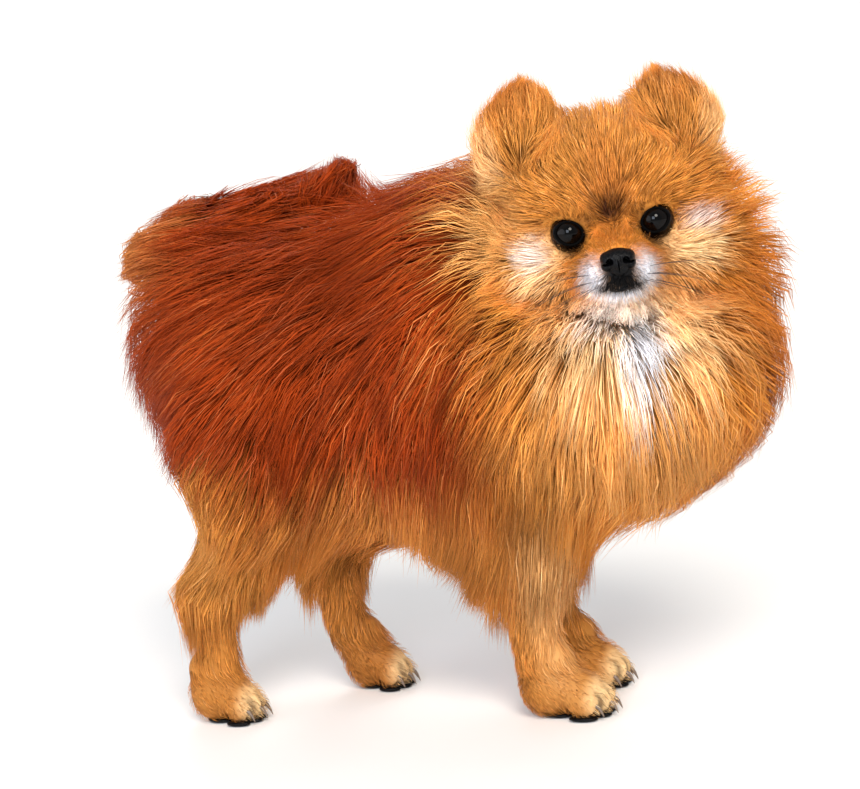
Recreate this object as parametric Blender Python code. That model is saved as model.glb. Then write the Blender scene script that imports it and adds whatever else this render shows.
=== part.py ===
"""A life-size standing Pomeranian, red sable, with its head turned to its right.

The dog faces +X with its left side towards +Y, and its paws stand on Z = 0.
One smooth core, the body with part of its coat's depth, is parted by thin cuts that
follow the lie of the coat, and flat tapered locks grow from it out to the coat's outline.
Sizes are in millimetres until settle() turns the finished pieces to metres.
"""

import math
import random

import bmesh
import bpy
from mathutils import Matrix, Vector
from mathutils.bvhtree import BVHTree

# Driving dimensions, in millimetres
MM = 0.001
GAP = 0.3
CORE_DEPTH = 0.5
BODY_VOXEL = 4.0
HEAD_VOXEL = 1.9
PAW_VOXEL = 1.5
BODY_FACES = 720
LIMB_FACES = 1600
HEAD_FACES = 940
PAW_FACES = 130
FLOOR = -3.5
PAW_TOP = 22.0
HOCK_CUT = 72.0
REACH = 400.0
LEVELS = (2.0, 3.0, 1.4, 0.8, 4.0, 0.4)

# The head's pose: turned back over the right shoulder, a little up, tilted to its left
FACE_TURN = math.radians(17.0)
FACE_PITCH = math.radians(8.0)
FACE_TILT = math.radians(3.35)
EYE_LINE = Vector((114.0, -60.0, 235.0))

# The head, by side, forward and up from the middle of the eye line
EYE_SPACING = 39.0
EYE_RADIUS = 8.6
EYE_DEPTH = -8.2
NOSE = (0.0, 24.5, -15.0)
NOSE_SIZE = (8.0, 5.6, 5.8)

# How much higher each ear stands, by the side of the head
EAR_RISE = {-1.0: 5.0, 1.0: 2.0}

# The trunk from rump to breast: x, z, half width and half height, of the skin and of the coat
TRUNK = (
    ((-118, 180, 14, 18), (-136, 206, 28, 32)),
    ((-104, 173, 30, 40), (-117, 194, 58, 56)),
    ((-70, 168, 36, 42), (-84, 167, 76, 86)),
    ((-20, 165, 38, 46), (-30, 164, 80, 93)),
    ((25, 160, 41, 52), (22, 166, 80, 92)),
    ((65, 158, 38, 50), (58, 164, 76, 86)),
    ((92, 152, 20, 30), (92, 156, 56, 60)),
)

# The neck and ruff: each ball's centre and radii, of the skin and of the coat
RUFF = (
    (((84, -8, 178), (42, 40, 46)), ((87, -9, 167), (90, 84, 85))),
    (((98, -8, 214), (34, 28, 34)), ((107, 2, 204), (79, 63, 76))),
    (((50, -1, 206), (42, 38, 40)), ((30, 0, 204), (70, 67, 60))),
)

# The tail's bone from root to tip, and the plume round it: x, y, z, half width, half height
TAIL = (
    ((-116, 0, 203, 9, 9), (-118, 0, 203, 20, 18)),
    ((-128, 1, 221, 8, 8), (-134, 1, 226, 31, 21)),
    ((-115, 5, 234, 7, 7), (-118, 5, 235, 36, 18)),
    ((-88, 9, 240, 6, 6), (-88, 9, 239, 38, 16)),
    ((-58, 12, 246, 5, 5), (-58, 12, 245, 33, 14)),
    ((-34, 14, 247, 4, 5), (-30, 14, 251, 17, 13)),
)

# Each limb with its short coat, from the body down: x, y, z, half width, half length
FRONT_LEG = {
    "right": (
        (56, -30, 122, 17, 20),
        (53, -28, 92, 17, 20),
        (51, -26, 70, 16, 18),
        (51, -24, 40, 15, 17),
        (53, -23, 11, 14, 16),
    ),
    "left": (
        (54, 30, 122, 17, 20),
        (49, 29, 92, 16, 19),
        (47, 27, 70, 15, 17),
        (46, 26, 40, 14, 16),
        (49, 26, 11, 13, 15),
    ),
}
HIND_LEG = {
    "right": (
        (-84, -36, 170, 24, 34),
        (-80, -42, 130, 24, 34),
        (-93, -37, 92, 17, 21),
        (-114, -32, 64, 13, 18),
        (-112, -30, 42, 13, 17),
        (-112, -30, 11, 12, 15),
    ),
    "left": (
        (-78, 36, 170, 24, 34),
        (-56, 42, 130, 24, 34),
        (-58, 36, 92, 17, 23),
        (-67, 29, 64, 13, 17),
        (-62, 27, 42, 12, 15),
        (-57, 27, 11, 12, 14),
    ),
}

# Each thigh's own cell, a ball flattened against the body: centre and radii
THIGH = {
    "right": ((-81, -54, 138), (39, 35, 58)),
    "left": ((-72, 54, 136), (39, 35, 58)),
}

# Each paw: middle of the foot, half width and half length
PAWS = {
    "paw_front_right": (61, -23, 17, 27),
    "paw_front_left": (57, 26, 16, 25),
    "paw_hind_right": (-112, -30, 15, 23),
    "paw_hind_left": (-53, 27, 14, 21),
}

# The locks of each part: length, width and thickness at the root
RUFF_LOCK = (62.0, 35.0, 8.0)
NAPE_LOCK = (58.0, 34.0, 8.0)
BODY_LOCK = (66.0, 36.0, 8.0)
FRINGE_LOCK = (46.0, 30.0, 7.0)
THIGH_LOCK = (48.0, 30.0, 7.0)
TAIL_LOCK = (50.0, 26.0, 7.0)
HEAD_LOCK = (32.0, 22.0, 6.0)
EAR_LOCK = (24.0, 20.0, 4.5)
TUFT = (20.0, 6.0)
ROOT_SINK = 7.0

# A lock that bends more sharply than this cosine is left out
KINK = 0.2

# A lock's width and thickness from its root on, and how far along it and how high each step is
LOCK_SHAPE = ((0.8, 0.9), (1.0, 1.0), (0.66, 0.62))
LOCK_STEPS = ((0.33, 0.62), (0.7, 0.96), (1.0, 0.98))

# Long tufts of the near side, mirrored to the far one: root and tip
FLANK_TUFTS = (
    ((12, -34, 118), (17, -46, 58)),
    ((-4, -34, 114), (-6, -42, 66)),
    ((-36, -50, 118), (-54, -60, 68)),
)
THIGH_TUFTS = (
    ((-60, -66, 130), (-66, -68, 84)),
    ((-100, -52, 116), (-110, -46, 84)),
)
HOCK_TUFT = ((10, 0, 68), (-25, 0, 55))

# The seed of each part's own chance, which varies the size and turn of its locks
SEEDS = {
    "head": 20,
    "ear_right": 10,
    "ear_left": 9,
    "neck": 7,
    "torso": 17,
    "tail": 12,
    "thigh_right": 8,
    "thigh_left": 20,
}

# The ruff's rings of locks: degrees from the throat's axis, and how many
RUFF_RINGS = ((12, 4), (36, 7), (60, 8), (88, 9), (118, 6))

# Where the fan of locks behind the head starts on each side: degrees from the crown
RUFF_FAN = (46.0, 78.0, 108.0)

# Colours of the coat, eyes and nose, linear RGB
RED = (0.42, 0.105, 0.022, 1.0)
ORANGE = (0.62, 0.24, 0.055, 1.0)
GOLD = (0.66, 0.33, 0.11, 1.0)
BLACK = (0.012, 0.010, 0.010, 1.0)
BROWN = (0.030, 0.014, 0.008, 1.0)


def face_frame():
    """The matrix from side, forward and up on the head to the dog's own frame."""
    forward = Vector((
        math.sin(FACE_TURN) * math.cos(FACE_PITCH),
        -math.cos(FACE_TURN) * math.cos(FACE_PITCH),
        math.sin(FACE_PITCH),
    ))
    level = Vector((math.cos(FACE_TURN), math.sin(FACE_TURN), 0.0))
    side = level * math.cos(FACE_TILT) + forward.cross(level) * math.sin(FACE_TILT)
    frame = Matrix((side, forward, forward.cross(side))).transposed().to_4x4()
    frame.translation = EYE_LINE
    return frame


FACE = face_frame()
SIDE = FACE.col[0].xyz
FORWARD = FACE.col[1].xyz
CROWN = FACE.col[2].xyz
ACROSS = Vector((0.0, 1.0, 0.0))
DOWN = Vector((0.0, 0.0, -1.0))


def on_face(side, forward, up):
    """A point of the head, by its distances from the middle of the eye line."""
    return FACE @ Vector((side, forward, up))


def make(name, bm):
    """An object from a bmesh whose faces are turned outwards."""
    bmesh.ops.recalc_face_normals(bm, faces=bm.faces)
    mesh = bpy.data.meshes.new(name)
    bm.to_mesh(mesh)
    bm.free()
    piece = bpy.data.objects.new(name, mesh)
    bpy.context.scene.collection.objects.link(piece)
    return piece


def ball(centre, radii, frame=None, grow=0.0, detail=20):
    """An ellipsoid, by its centre and three radii along the axes of a frame."""
    bm = bmesh.new()
    size = [radius + grow for radius in radii]
    place = (frame or Matrix()) @ Matrix.Translation(centre) @ Matrix.Diagonal((*size, 1.0))
    bmesh.ops.create_uvsphere(bm, u_segments=detail, v_segments=detail // 2, radius=1.0, matrix=place)
    return make("ball", bm)


def ring_at(bm, centre, first, second, sides):
    """A ring of points round a centre, on the ellipse of two half axes."""
    turn = 2.0 * math.pi / sides
    return [
        bm.verts.new(centre + first * math.cos(turn * k) + second * math.sin(turn * k))
        for k in range(sides)
    ]


def skin_rings(bm, rings, start, end):
    """The side faces between rings, closed by a fan to a point at each end."""
    sides = len(rings[0])
    for ring, after in zip(rings, rings[1:]):
        for k in range(sides):
            n = (k + 1) % sides
            bm.faces.new((ring[k], ring[n], after[n], after[k]))
    for ring, pole in ((rings[0], bm.verts.new(start)), (rings[-1], bm.verts.new(end))):
        for k in range(sides):
            bm.faces.new((ring[k], ring[(k + 1) % sides], pole))


def tube(stations, across=ACROSS, grow=0.0, sides=14):
    """A closed tube through stations of centre, half width across and half height."""
    bm = bmesh.new()
    centres = [Vector(station[:3]) for station in stations]
    rings = []
    for k, station in enumerate(stations):
        along = (centres[min(k + 1, len(centres) - 1)] - centres[max(k - 1, 0)]).normalized()
        first = (across - along * across.dot(along)).normalized()
        second = along.cross(first)
        rings.append(ring_at(
            bm, centres[k], first * (station[3] + grow), second * (station[4] + grow), sides
        ))
    reach = [min(station[3:]) * 0.6 + grow for station in (stations[0], stations[-1])]
    start = centres[0] + (centres[0] - centres[1]).normalized() * reach[0]
    end = centres[-1] + (centres[-1] - centres[-2]).normalized() * reach[1]
    skin_rings(bm, rings, start, end)
    return make("tube", bm)


def box(low, high):
    """A box between two corners."""
    bm = bmesh.new()
    size = [b - a for a, b in zip(low, high)]
    middle = [(a + b) / 2.0 for a, b in zip(low, high)]
    bmesh.ops.create_cube(bm, matrix=Matrix.Translation(middle) @ Matrix.Diagonal((*size, 1.0)))
    return make("box", bm)


def apply(piece):
    """Turn a piece into the mesh that its modifiers give, and drop them."""
    graph = bpy.context.evaluated_depsgraph_get()
    mesh = bpy.data.meshes.new_from_object(piece.evaluated_get(graph))
    old = piece.data
    piece.modifiers.clear()
    piece.data = mesh
    bpy.data.meshes.remove(old)
    return piece


def remove(pieces):
    """Take pieces out of the scene."""
    for piece in list(pieces):
        mesh = piece.data
        bpy.data.objects.remove(piece)
        if mesh.users == 0:
            bpy.data.meshes.remove(mesh)


def blend(pieces, voxel, rounds, faces):
    """One smooth closed skin round overlapping pieces, with about this many triangles."""
    bm = bmesh.new()
    for piece in pieces:
        bm.from_mesh(piece.data)
    remove(pieces)
    whole = make("core", bm)
    remesh = whole.modifiers.new("remesh", "REMESH")
    remesh.mode = "VOXEL"
    remesh.voxel_size = voxel
    smooth = whole.modifiers.new("smooth", "SMOOTH")
    smooth.factor = 0.6
    smooth.iterations = rounds
    apply(whole)
    return thin(whole, faces / (2.0 * len(whole.data.polygons)))


def thin(piece, share):
    """Take faces out of a piece where it is plainest, down to a share of them."""
    change = piece.modifiers.new("thin", "DECIMATE")
    change.ratio = share
    return apply(piece)


def combine(piece, operation, others):
    """Join pieces to one, keep what lies in them or cut them away, and remove them."""
    group = bpy.data.collections.new("group")
    bpy.context.scene.collection.children.link(group)
    for other in others:
        group.objects.link(other)
    change = piece.modifiers.new("change", "BOOLEAN")
    change.operation = operation
    change.operand_type = "COLLECTION"
    change.collection = group
    change.solver = "MANIFOLD"
    apply(piece)
    remove(others)
    bpy.data.collections.remove(group)
    return piece


def level(piece):
    """A bmesh of a piece in triangles, its level faces joined, where every edge has two faces."""
    for angle in LEVELS:
        bm = bmesh.new()
        bm.from_mesh(piece.data)
        bmesh.ops.dissolve_limit(bm, angle_limit=math.radians(angle), verts=bm.verts, edges=bm.edges)
        bmesh.ops.triangulate(bm, faces=bm.faces)
        if all(len(edge.link_faces) == 2 for edge in bm.edges):
            break
    return bm


def keep_largest(piece):
    """Drop every closed surface of a piece but its largest."""
    bm = level(piece)
    unseen = set(bm.verts)
    best = set()
    while unseen:
        body = {unseen.pop()}
        edge = list(body)
        while edge:
            vert = edge.pop()
            for link in vert.link_edges:
                other = link.other_vert(vert)
                if other in unseen:
                    unseen.discard(other)
                    body.add(other)
                    edge.append(other)
        if len(body) > len(best):
            best = body
    bmesh.ops.delete(bm, geom=[vert for vert in bm.verts if vert not in best], context="VERTS")
    bm.to_mesh(piece.data)
    bm.free()
    return piece


def copy_of(piece):
    """A copy of a piece with its own mesh."""
    twin = piece.copy()
    twin.data = piece.data.copy()
    bpy.context.scene.collection.objects.link(twin)
    return twin


def between(first, second, share):
    """Each number a share of the way from the first set to the second."""
    return [a + share * (b - a) for a, b in zip(first, second)]


def body_core(depth, faces):
    """Trunk, neck, tail and limbs as one smooth form at a share of the coat's depth."""
    trunk = [between(skin, coat, depth) for skin, coat in TRUNK]
    pieces = [tube([(x, 0, z, width, height) for x, z, width, height in trunk], sides=20)]
    for (skin_centre, skin_radii), (coat_centre, coat_radii) in RUFF:
        pieces.append(ball(
            between(skin_centre, coat_centre, depth), between(skin_radii, coat_radii, depth)
        ))
    pieces.append(tube([between(skin, coat, depth) for skin, coat in TAIL]))
    for hand in ("right", "left"):
        pieces.append(tube(FRONT_LEG[hand]))
        pieces.append(tube(HIND_LEG[hand]))
        centre, radii = THIGH[hand]
        pieces.append(ball(centre, [radius - 26.0 * (1.0 - depth) - 3.0 for radius in radii]))
    return blend(pieces, BODY_VOXEL, 8, faces)


def head_core(depth):
    """Skull, brows, cheeks, muzzle and chin, with the cheeks' coat to a share of its depth."""
    fluff = 10.0 * depth
    pieces = [
        ball((0, -28, 13), (38 + fluff, 33, 37 + 0.6 * fluff), FACE),
        ball((0, -36, 2), (42 + fluff, 30, 36 + 0.6 * fluff), FACE),
        ball((0, -56, -8), (46, 36, 44), FACE),
        ball((0, -26, -24), (30 + fluff, 24, 18 + 0.4 * fluff), FACE),
        tube(
            [
                (*on_face(0, -12, -16), 25, 19),
                (*on_face(0, 0, -17.5), 20, 16),
                (*on_face(0, 10, -19.5), 17, 13.5),
                (*on_face(0, 18, -20.5), 14, 11.5),
                (*on_face(0, 23, -20.5), 9, 8),
            ],
            SIDE,
        ),
        ball((0, 8, -29), (10, 12, 6), FACE),
    ]
    for hand in (-1.0, 1.0):
        pieces.append(ball((hand * 15, -4, 10), (11, 8, 7), FACE))
        pieces.append(ball((hand * 24, -26, -14), (21 + fluff, 24, 22), FACE))
    return blend(pieces, HEAD_VOXEL, 3, HEAD_FACES)


def head_cell(grow=0.0):
    """The room of the head and its fluff, which the ruff lies round."""
    return ball((0, -26, 6), (60, 57, 56), FACE, grow, 18)


def neck_cell(grow=0.0):
    """The room of the neck and its ruff, out to the tips."""
    pieces = [
        ball(coat_centre, [radius + 2.0 for radius in coat_radii], None, grow, 24)
        for skin, (coat_centre, coat_radii) in RUFF
    ]
    return combine(pieces[0], "UNION", pieces[1:])


def chain(stations, grow=0.0):
    """The room round a bent limb, one short tube for each pair of its stations."""
    pieces = [tube(pair, grow=grow, sides=12) for pair in zip(stations, stations[1:])]
    return combine(pieces[0], "UNION", pieces[1:])


def tail_cell(grow=0.0):
    """The room of the tail and its plume, which lies along the back."""
    return chain([(x, y, z, w + 2.0, h + 3.0) for x, y, z, w, h in (coat for skin, coat in TAIL)], grow)


def thigh_cell(hand, grow=0.0):
    """The room of a thigh and its trousers."""
    centre, radii = THIGH[hand]
    return ball(centre, radii, None, grow, 18)


def leg_cell(stations, top, low, margin, grow=0.0):
    """The room of a limb between two heights, its coat's tube made wider."""
    room = chain([(x, y, z, w + margin, h + margin) for x, y, z, w, h in stations], grow)
    slab = box((-REACH, -REACH, low - grow), (REACH, REACH, top + grow))
    return combine(room, "INTERSECT", [slab])


def node(name, core, locks, inside, outside):
    """One sub-part: core and locks joined, inside its own room and clear of its neighbours'."""
    if locks:
        combine(core, "UNION", locks)
    if inside:
        combine(core, "INTERSECT", inside)
    for other in outside:
        combine(core, "DIFFERENCE", [other])
    keep_largest(core)
    core.name = name
    core.data.name = name
    return core


def lock(points, normals, width, thick):
    """A flat lock with a low ridge, that widens from its root and tapers to its tip."""
    bm = bmesh.new()
    rings = []
    for k, (wide, deep) in enumerate(LOCK_SHAPE):
        along = (points[k + 1] - points[max(0, k - 1)]).normalized()
        side = along.cross(normals[k]).normalized() * (width * wide / 2.0)
        ridge = side.cross(along).normalized() * (thick * deep)
        rings.append([bm.verts.new(points[k] + offset) for offset in (side, ridge, -side)])
    skin_rings(bm, rings, points[0] - (points[1] - points[0]) * 0.1, points[-1])
    return make("lock", bm)


class Coat:
    """Seats locks on the core so that their tips reach the coat's outline."""

    def __init__(self, core, outline):
        self.core = BVHTree.FromObject(core, bpy.context.evaluated_depsgraph_get())
        self.outline = BVHTree.FromObject(outline, bpy.context.evaluated_depsgraph_get())
        self.chance = random.Random(0)

    def begin(self, name):
        """Start the locks of one part, with that part's own chance."""
        self.chance = random.Random(SEEDS[name])

    def lock(self, start, aim, lie, size, fall=0.0, free=False):
        """A lock where a ray leaves the core, laid along lie(place) and drawn down by fall.

        It follows the core and rises to the coat's outline, or hangs straight on if it is free.
        """
        place, normal, _, _ = self.core.ray_cast(start, aim.normalized())
        if place is None:
            return None
        length, width, thick = size
        length *= self.chance.uniform(0.85, 1.12)
        width *= self.chance.uniform(0.85, 1.1)
        way = lie(place)
        way = (way - normal * way.dot(normal)).normalized()
        way = (way + normal.cross(way) * self.chance.uniform(-0.16, 0.16)).normalized()
        points = [place - normal * ROOT_SINK]
        normals = [normal]
        for share, height in LOCK_STEPS:
            ahead = place + way * (share * length) + DOWN * (fall * share * share * length)
            low, outward, _, _ = self.core.find_nearest(ahead)
            high = self.outline.find_nearest(ahead)[0]
            points.append(low.lerp(high, height) if not free or share < 0.5 else ahead)
            normals.append((normals[-1] * 1.5 + outward).normalized())
        legs = [(after - before).normalized() for before, after in zip(points, points[1:])]
        if min(leg.dot(after) for leg, after in zip(legs, legs[1:])) < KINK:
            return None
        return lock(points, normals, width, thick)


def tufts(pairs, hand, shift=0.0):
    """Straight tufts from root to tip on one side of the dog."""
    mirror = -1.0 if hand == "left" else 1.0
    locks = []
    for root, tip in pairs:
        start = Vector((root[0] + shift, root[1] * mirror, root[2]))
        end = Vector((tip[0] + shift, tip[1] * mirror, tip[2]))
        points = [start.lerp(end, share) for share in (0.0, 0.35, 0.7, 1.0)]
        locks.append(lock(points, [ACROSS * -mirror] * len(LOCK_SHAPE), *TUFT))
    return locks


def kept(locks):
    """The locks that found a seat."""
    return [piece for piece in locks if piece]


def steps(start, end, count):
    """Evenly spaced values, both ends with them."""
    return [start + (end - start) * k / (count - 1) for k in range(count)]


def body_lie(place):
    """Down at the shoulder, back and down along the flank, back along the top."""
    run = min(1.0, max(0.0, (50.0 - place.x) / 170.0))
    rise = min(1.0, max(0.0, (place.z - 110.0) / 130.0))
    slope = math.radians((86.0 - 30.0 * run) * (1.0 - rise) + (40.0 - 32.0 * run) * rise)
    outward = math.copysign(0.35 * rise, place.y)
    return Vector((-math.cos(slope), outward, -math.sin(slope)))


def ruff_lie(place):
    """Away from the muzzle in every direction, hanging on the chest."""
    away = (place - on_face(0, 10, 0)).normalized()
    return away + DOWN * 0.35 - FORWARD * 0.25


def nape_lie(place):
    """Back along the neck's top, parted to both sides."""
    return Vector((-1.0, place.y * 0.012, 0.0))


def head_lie(place):
    """Away from the nose, back over the cheeks and crown."""
    return (place - on_face(0, 26, -8)).normalized() - FORWARD * 0.2


def thigh_lie(place):
    """Back and down into the trousers."""
    return Vector((-0.62, 0.0, -0.78))


def body_locks(coat):
    """Rows of locks round the trunk, staggered from row to row."""
    coat.begin("torso")
    locks = []
    for row, x in enumerate(steps(-106.0, -6.0, 4)):
        for k in range(8):
            angle = 2.0 * math.pi * (k + 0.5 * (row % 2)) / 8
            aim = Vector((0.0, math.sin(angle), math.cos(angle)))
            if x > -100.0 or aim.z > -0.3:
                locks.append(coat.lock(Vector((x, 0.0, 168.0)), aim, body_lie, BODY_LOCK, 0.1))
    for k in range(6):
        angle = 2.0 * math.pi * k / 6
        aim = Vector((-1.2, math.sin(angle), math.cos(angle)))
        locks.append(coat.lock(Vector((-108.0, 0.0, 178.0)), aim, body_lie, THIGH_LOCK, 0.1))
    for hand in ("right", "left"):
        locks += tufts(FLANK_TUFTS, hand)
    for side in (-1.0, 1.0):
        for row, x in enumerate(steps(-84.0, 4.0, 4)):
            angle = math.radians(128.0 + 8.0 * (row % 2)) * side
            aim = Vector((0.0, math.sin(angle), math.cos(angle)))
            locks.append(coat.lock(Vector((x, 0.0, 168.0)), aim, body_lie, FRINGE_LOCK, 0.35, True))
    return kept(locks)


def ruff_locks(coat):
    """Rings of locks round the ruff, out from the face."""
    coat.begin("neck")
    middle = Vector((84.0, -6.0, 178.0))
    locks = []
    for row, (polar, count) in enumerate(RUFF_RINGS):
        for k in range(count):
            angle = 2.0 * math.pi * (k + 0.5 * (row % 2)) / count
            ring = SIDE * math.sin(angle) + CROWN * math.cos(angle)
            slant = math.radians(polar)
            aim = (FORWARD + DOWN * 0.45).normalized() * math.cos(slant) + ring * math.sin(slant)
            locks.append(coat.lock(middle, aim, ruff_lie, RUFF_LOCK, 0.25))
    behind = on_face(0, -62, -12)
    for angle in RUFF_FAN:
        for side in (-1.0, 1.0):
            turn = math.radians(angle)
            aim = SIDE * (side * math.sin(turn)) + CROWN * math.cos(turn)
            locks.append(coat.lock(behind, aim, ruff_lie, NAPE_LOCK))
    for row, x in enumerate(steps(40.0, 8.0, 2)):
        for side in steps(-1.0, 1.0, 3 + row % 2):
            aim = Vector((0.0, side * 0.75, 1.0))
            locks.append(coat.lock(Vector((x, 0.0, 200.0)), aim, nape_lie, NAPE_LOCK))
    return kept(locks)


def thigh_locks(coat, hand):
    """Rows of locks down the outside and back of a thigh."""
    coat.begin(f"thigh_{hand}")
    centre = Vector(THIGH[hand][0])
    out = math.copysign(1.0, centre.y)
    locks = []
    for row, height in enumerate((38.0, 12.0, -14.0, -38.0)):
        for k in range(3):
            angle = math.radians(-12.0 - 50.0 * (k + 0.5 * (row % 2)))
            aim = Vector((math.cos(angle) + 0.1, 0.0, 0.0)) + ACROSS * (out * -math.sin(angle))
            start = centre + Vector((-6.0, -out * 18.0, height))
            locks.append(coat.lock(start, aim, thigh_lie, THIGH_LOCK, 0.1))
    return kept(locks) + tufts(THIGH_TUFTS, hand)


def tail_locks(coat):
    """Pairs of locks that fan from the tail's bone, and one row along its top."""
    coat.begin("tail")
    locks = []
    for k in range(1, 5):
        here = Vector(TAIL[k][0][:3])
        along = (Vector(TAIL[k + 1][0][:3]) - here).normalized()
        for turn in (-80.0, 0.0, 80.0):
            angle = math.radians(turn)
            aim = ACROSS * math.sin(angle) + along.cross(ACROSS) * -math.cos(angle)
            if aim.z < 0.0:
                aim = -aim

            def fan(place, way=along, out=aim):
                return way + out * 0.6

            size = (TAIL_LOCK[0] * (1.0 - 0.1 * k), *TAIL_LOCK[1:])
            locks.append(coat.lock(here, aim, fan, size))
    return kept(locks)


def head_locks(coat):
    """Rings of locks over the crown and cheeks, out from the face."""
    coat.begin("head")
    locks = []
    for row, polar in enumerate((70.0, 98.0)):
        for angle in steps(math.radians(70.0 - 9.0 * row), math.radians(290.0 + 9.0 * row), 5 + row):
            slant = math.radians(polar)
            ring = SIDE * math.sin(angle) + CROWN * math.cos(angle)
            aim = FORWARD * math.cos(slant) + ring * math.sin(slant)
            locks.append(coat.lock(on_face(0, -27, 0), aim, head_lie, HEAD_LOCK))
    for side, forward in ((-9.0, -14.0), (9.0, -14.0), (0.0, -28.0)):
        locks.append(coat.lock(on_face(side, forward, 0), CROWN, head_lie, HEAD_LOCK))
    return kept(locks)


def material(name, colour, roughness):
    """A plain finish of one colour."""
    finish = bpy.data.materials.new(name)
    finish.use_nodes = True
    shader = finish.node_tree.nodes["Principled BSDF"]
    shader.inputs["Base Color"].default_value = colour
    shader.inputs["Roughness"].default_value = roughness
    shader.inputs["Metallic"].default_value = 0.0
    return finish


def eye(hand, grow=0.0):
    """An eyeball, by the side of the head that it is on."""
    centre = (hand * EYE_SPACING / 2.0, EYE_DEPTH, 0.0)
    return ball(centre, (EYE_RADIUS,) * 3, FACE, grow, 14)


def lids(hand):
    """The rim of the lids round an eye, an almond that lies on the eyeball."""
    bm = bmesh.new()
    middle = Vector((hand * EYE_SPACING / 2.0, EYE_DEPTH, 0.0))
    count = 12
    rings = []
    for k in range(count):
        angle = 2.0 * math.pi * k / count
        side = 7.7 * math.cos(angle)
        up = 6.3 * math.sin(angle) * (1.0 - 0.18 * abs(math.cos(angle)) ** 3)
        up += hand * side * 0.10
        ahead = math.sqrt(max(1.0, (EYE_RADIUS + 0.9) ** 2 - side * side - up * up))
        centre = middle + Vector((side, ahead, up))
        outward = Vector((side, ahead, up)).normalized()
        along = Vector((-math.sin(angle), 0.0, math.cos(angle)))
        flat = outward.cross(along).normalized()
        rings.append([
            bm.verts.new(FACE @ (centre + flat * (1.7 * math.cos(t)) + outward * (1.5 * math.sin(t))))
            for t in (math.pi / 2.0, 1.17 * math.pi, 1.83 * math.pi)
        ])
    for ring, after in zip(rings, rings[1:] + rings[:1]):
        for k in range(3):
            n = (k + 1) % 3
            bm.faces.new((ring[k], ring[n], after[n], after[k]))
    return make("lids", bm)


def nose(grow=0.0):
    """The nose leather, broad above and narrow below."""
    width, depth, height = NOSE_SIZE
    pieces = [ball(NOSE, NOSE_SIZE, FACE, grow, 10)]
    side, forward, up = NOSE
    lower = (side, forward - 1.0, up - 3.0)
    pieces.append(ball(lower, (width * 0.62, depth * 0.9, height * 0.75), FACE, grow, 8))
    return combine(pieces[0], "UNION", pieces[1:])


def nostrils():
    """What is cut from the nose: two comma-shaped holes and the groove between them."""
    side, forward, up = NOSE
    front = forward + NOSE_SIZE[1]
    holes = [ball((hand * 3.7, front - 1.0, up - 0.4), (1.7, 3.6, 1.9), FACE, 0.0, 8) for hand in (-1, 1)]
    holes.append(ball((0.0, front - 0.6, up - 5.2), (0.5, 2.4, 5.0), FACE, 0.0, 8))
    return holes


def mouth_curve():
    """The line of the mouth from one corner over the front to the other."""
    points = []
    for t in steps(-1.0, 1.0, 9):
        bow = 1.0 - abs(t) ** 1.6
        points.append(Vector((17.0 * t, 3.0 + 19.5 * bow, -28.0 + 1.6 * abs(math.sin(math.pi * t)) - 0.4)))
    return points


def mouth(lift, wide, high):
    """A strip along the mouth, for the cut between the lips and for each lip."""
    stations = [
        (*(FACE @ (point + Vector((0.0, 0.0, lift)))), wide, high) for point in mouth_curve()
    ]
    return tube(stations, FORWARD, sides=5)


def ear(hand, sides=10):
    """An ear: an upright leaf with a rounded tip and a cup in its front."""
    stations = [
        (*on_face(hand * side, forward, up + EAR_RISE[hand]), wide, deep)
        for side, forward, up, wide, deep in (
            (33.0, -36.0, 20.0, 17.0, 12.0),
            (35.5, -35.0, 34.0, 21.0, 12.0),
            (36.5, -35.0, 47.0, 18.5, 9.5),
            (35.5, -36.0, 57.0, 12.5, 6.5),
            (34.0, -37.0, 63.0, 6.5, 3.6),
        )
    ]
    return tube(stations, SIDE, sides=sides)


def ear_cell(hand, grow=0.0):
    """The room of an ear and its fringe."""
    stations = [
        (*on_face(hand * side, forward, up + EAR_RISE[hand]), wide, deep)
        for side, forward, up, wide, deep in (
            (33.0, -36.0, 20.0, 18.0, 13.5),
            (37.0, -36.0, 36.0, 25.0, 15.0),
            (38.0, -37.0, 52.0, 23.0, 14.0),
            (36.5, -38.0, 63.0, 15.0, 10.0),
            (34.5, -38.0, 69.0, 6.0, 5.0),
        )
    ]
    return tube(stations, SIDE, grow, 10)


def ear_cup(hand):
    """The hollow in the front of an ear."""
    return ball((hand * 36.0, -24.0, 45.0 + EAR_RISE[hand]), (10.0, 7.5, 13.0), FACE, 0.0, 12)


def ear_locks(hand, coat):
    """The fringe round an ear's edge and over its back."""
    coat.begin("ear_left" if hand > 0.0 else "ear_right")
    middle = on_face(hand * 35.0, -36.0, 40.0 + EAR_RISE[hand])

    def upward(place):
        return CROWN + (place - middle).normalized() * 0.5

    locks = []
    for turn in (-50.0, 0.0, 44.0, 90.0):
        angle = math.radians(turn) * hand
        aim = SIDE * math.sin(angle) + CROWN * math.cos(angle) - FORWARD * 0.25
        locks.append(coat.lock(middle, aim, upward, EAR_LOCK))
    return kept(locks)


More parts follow.
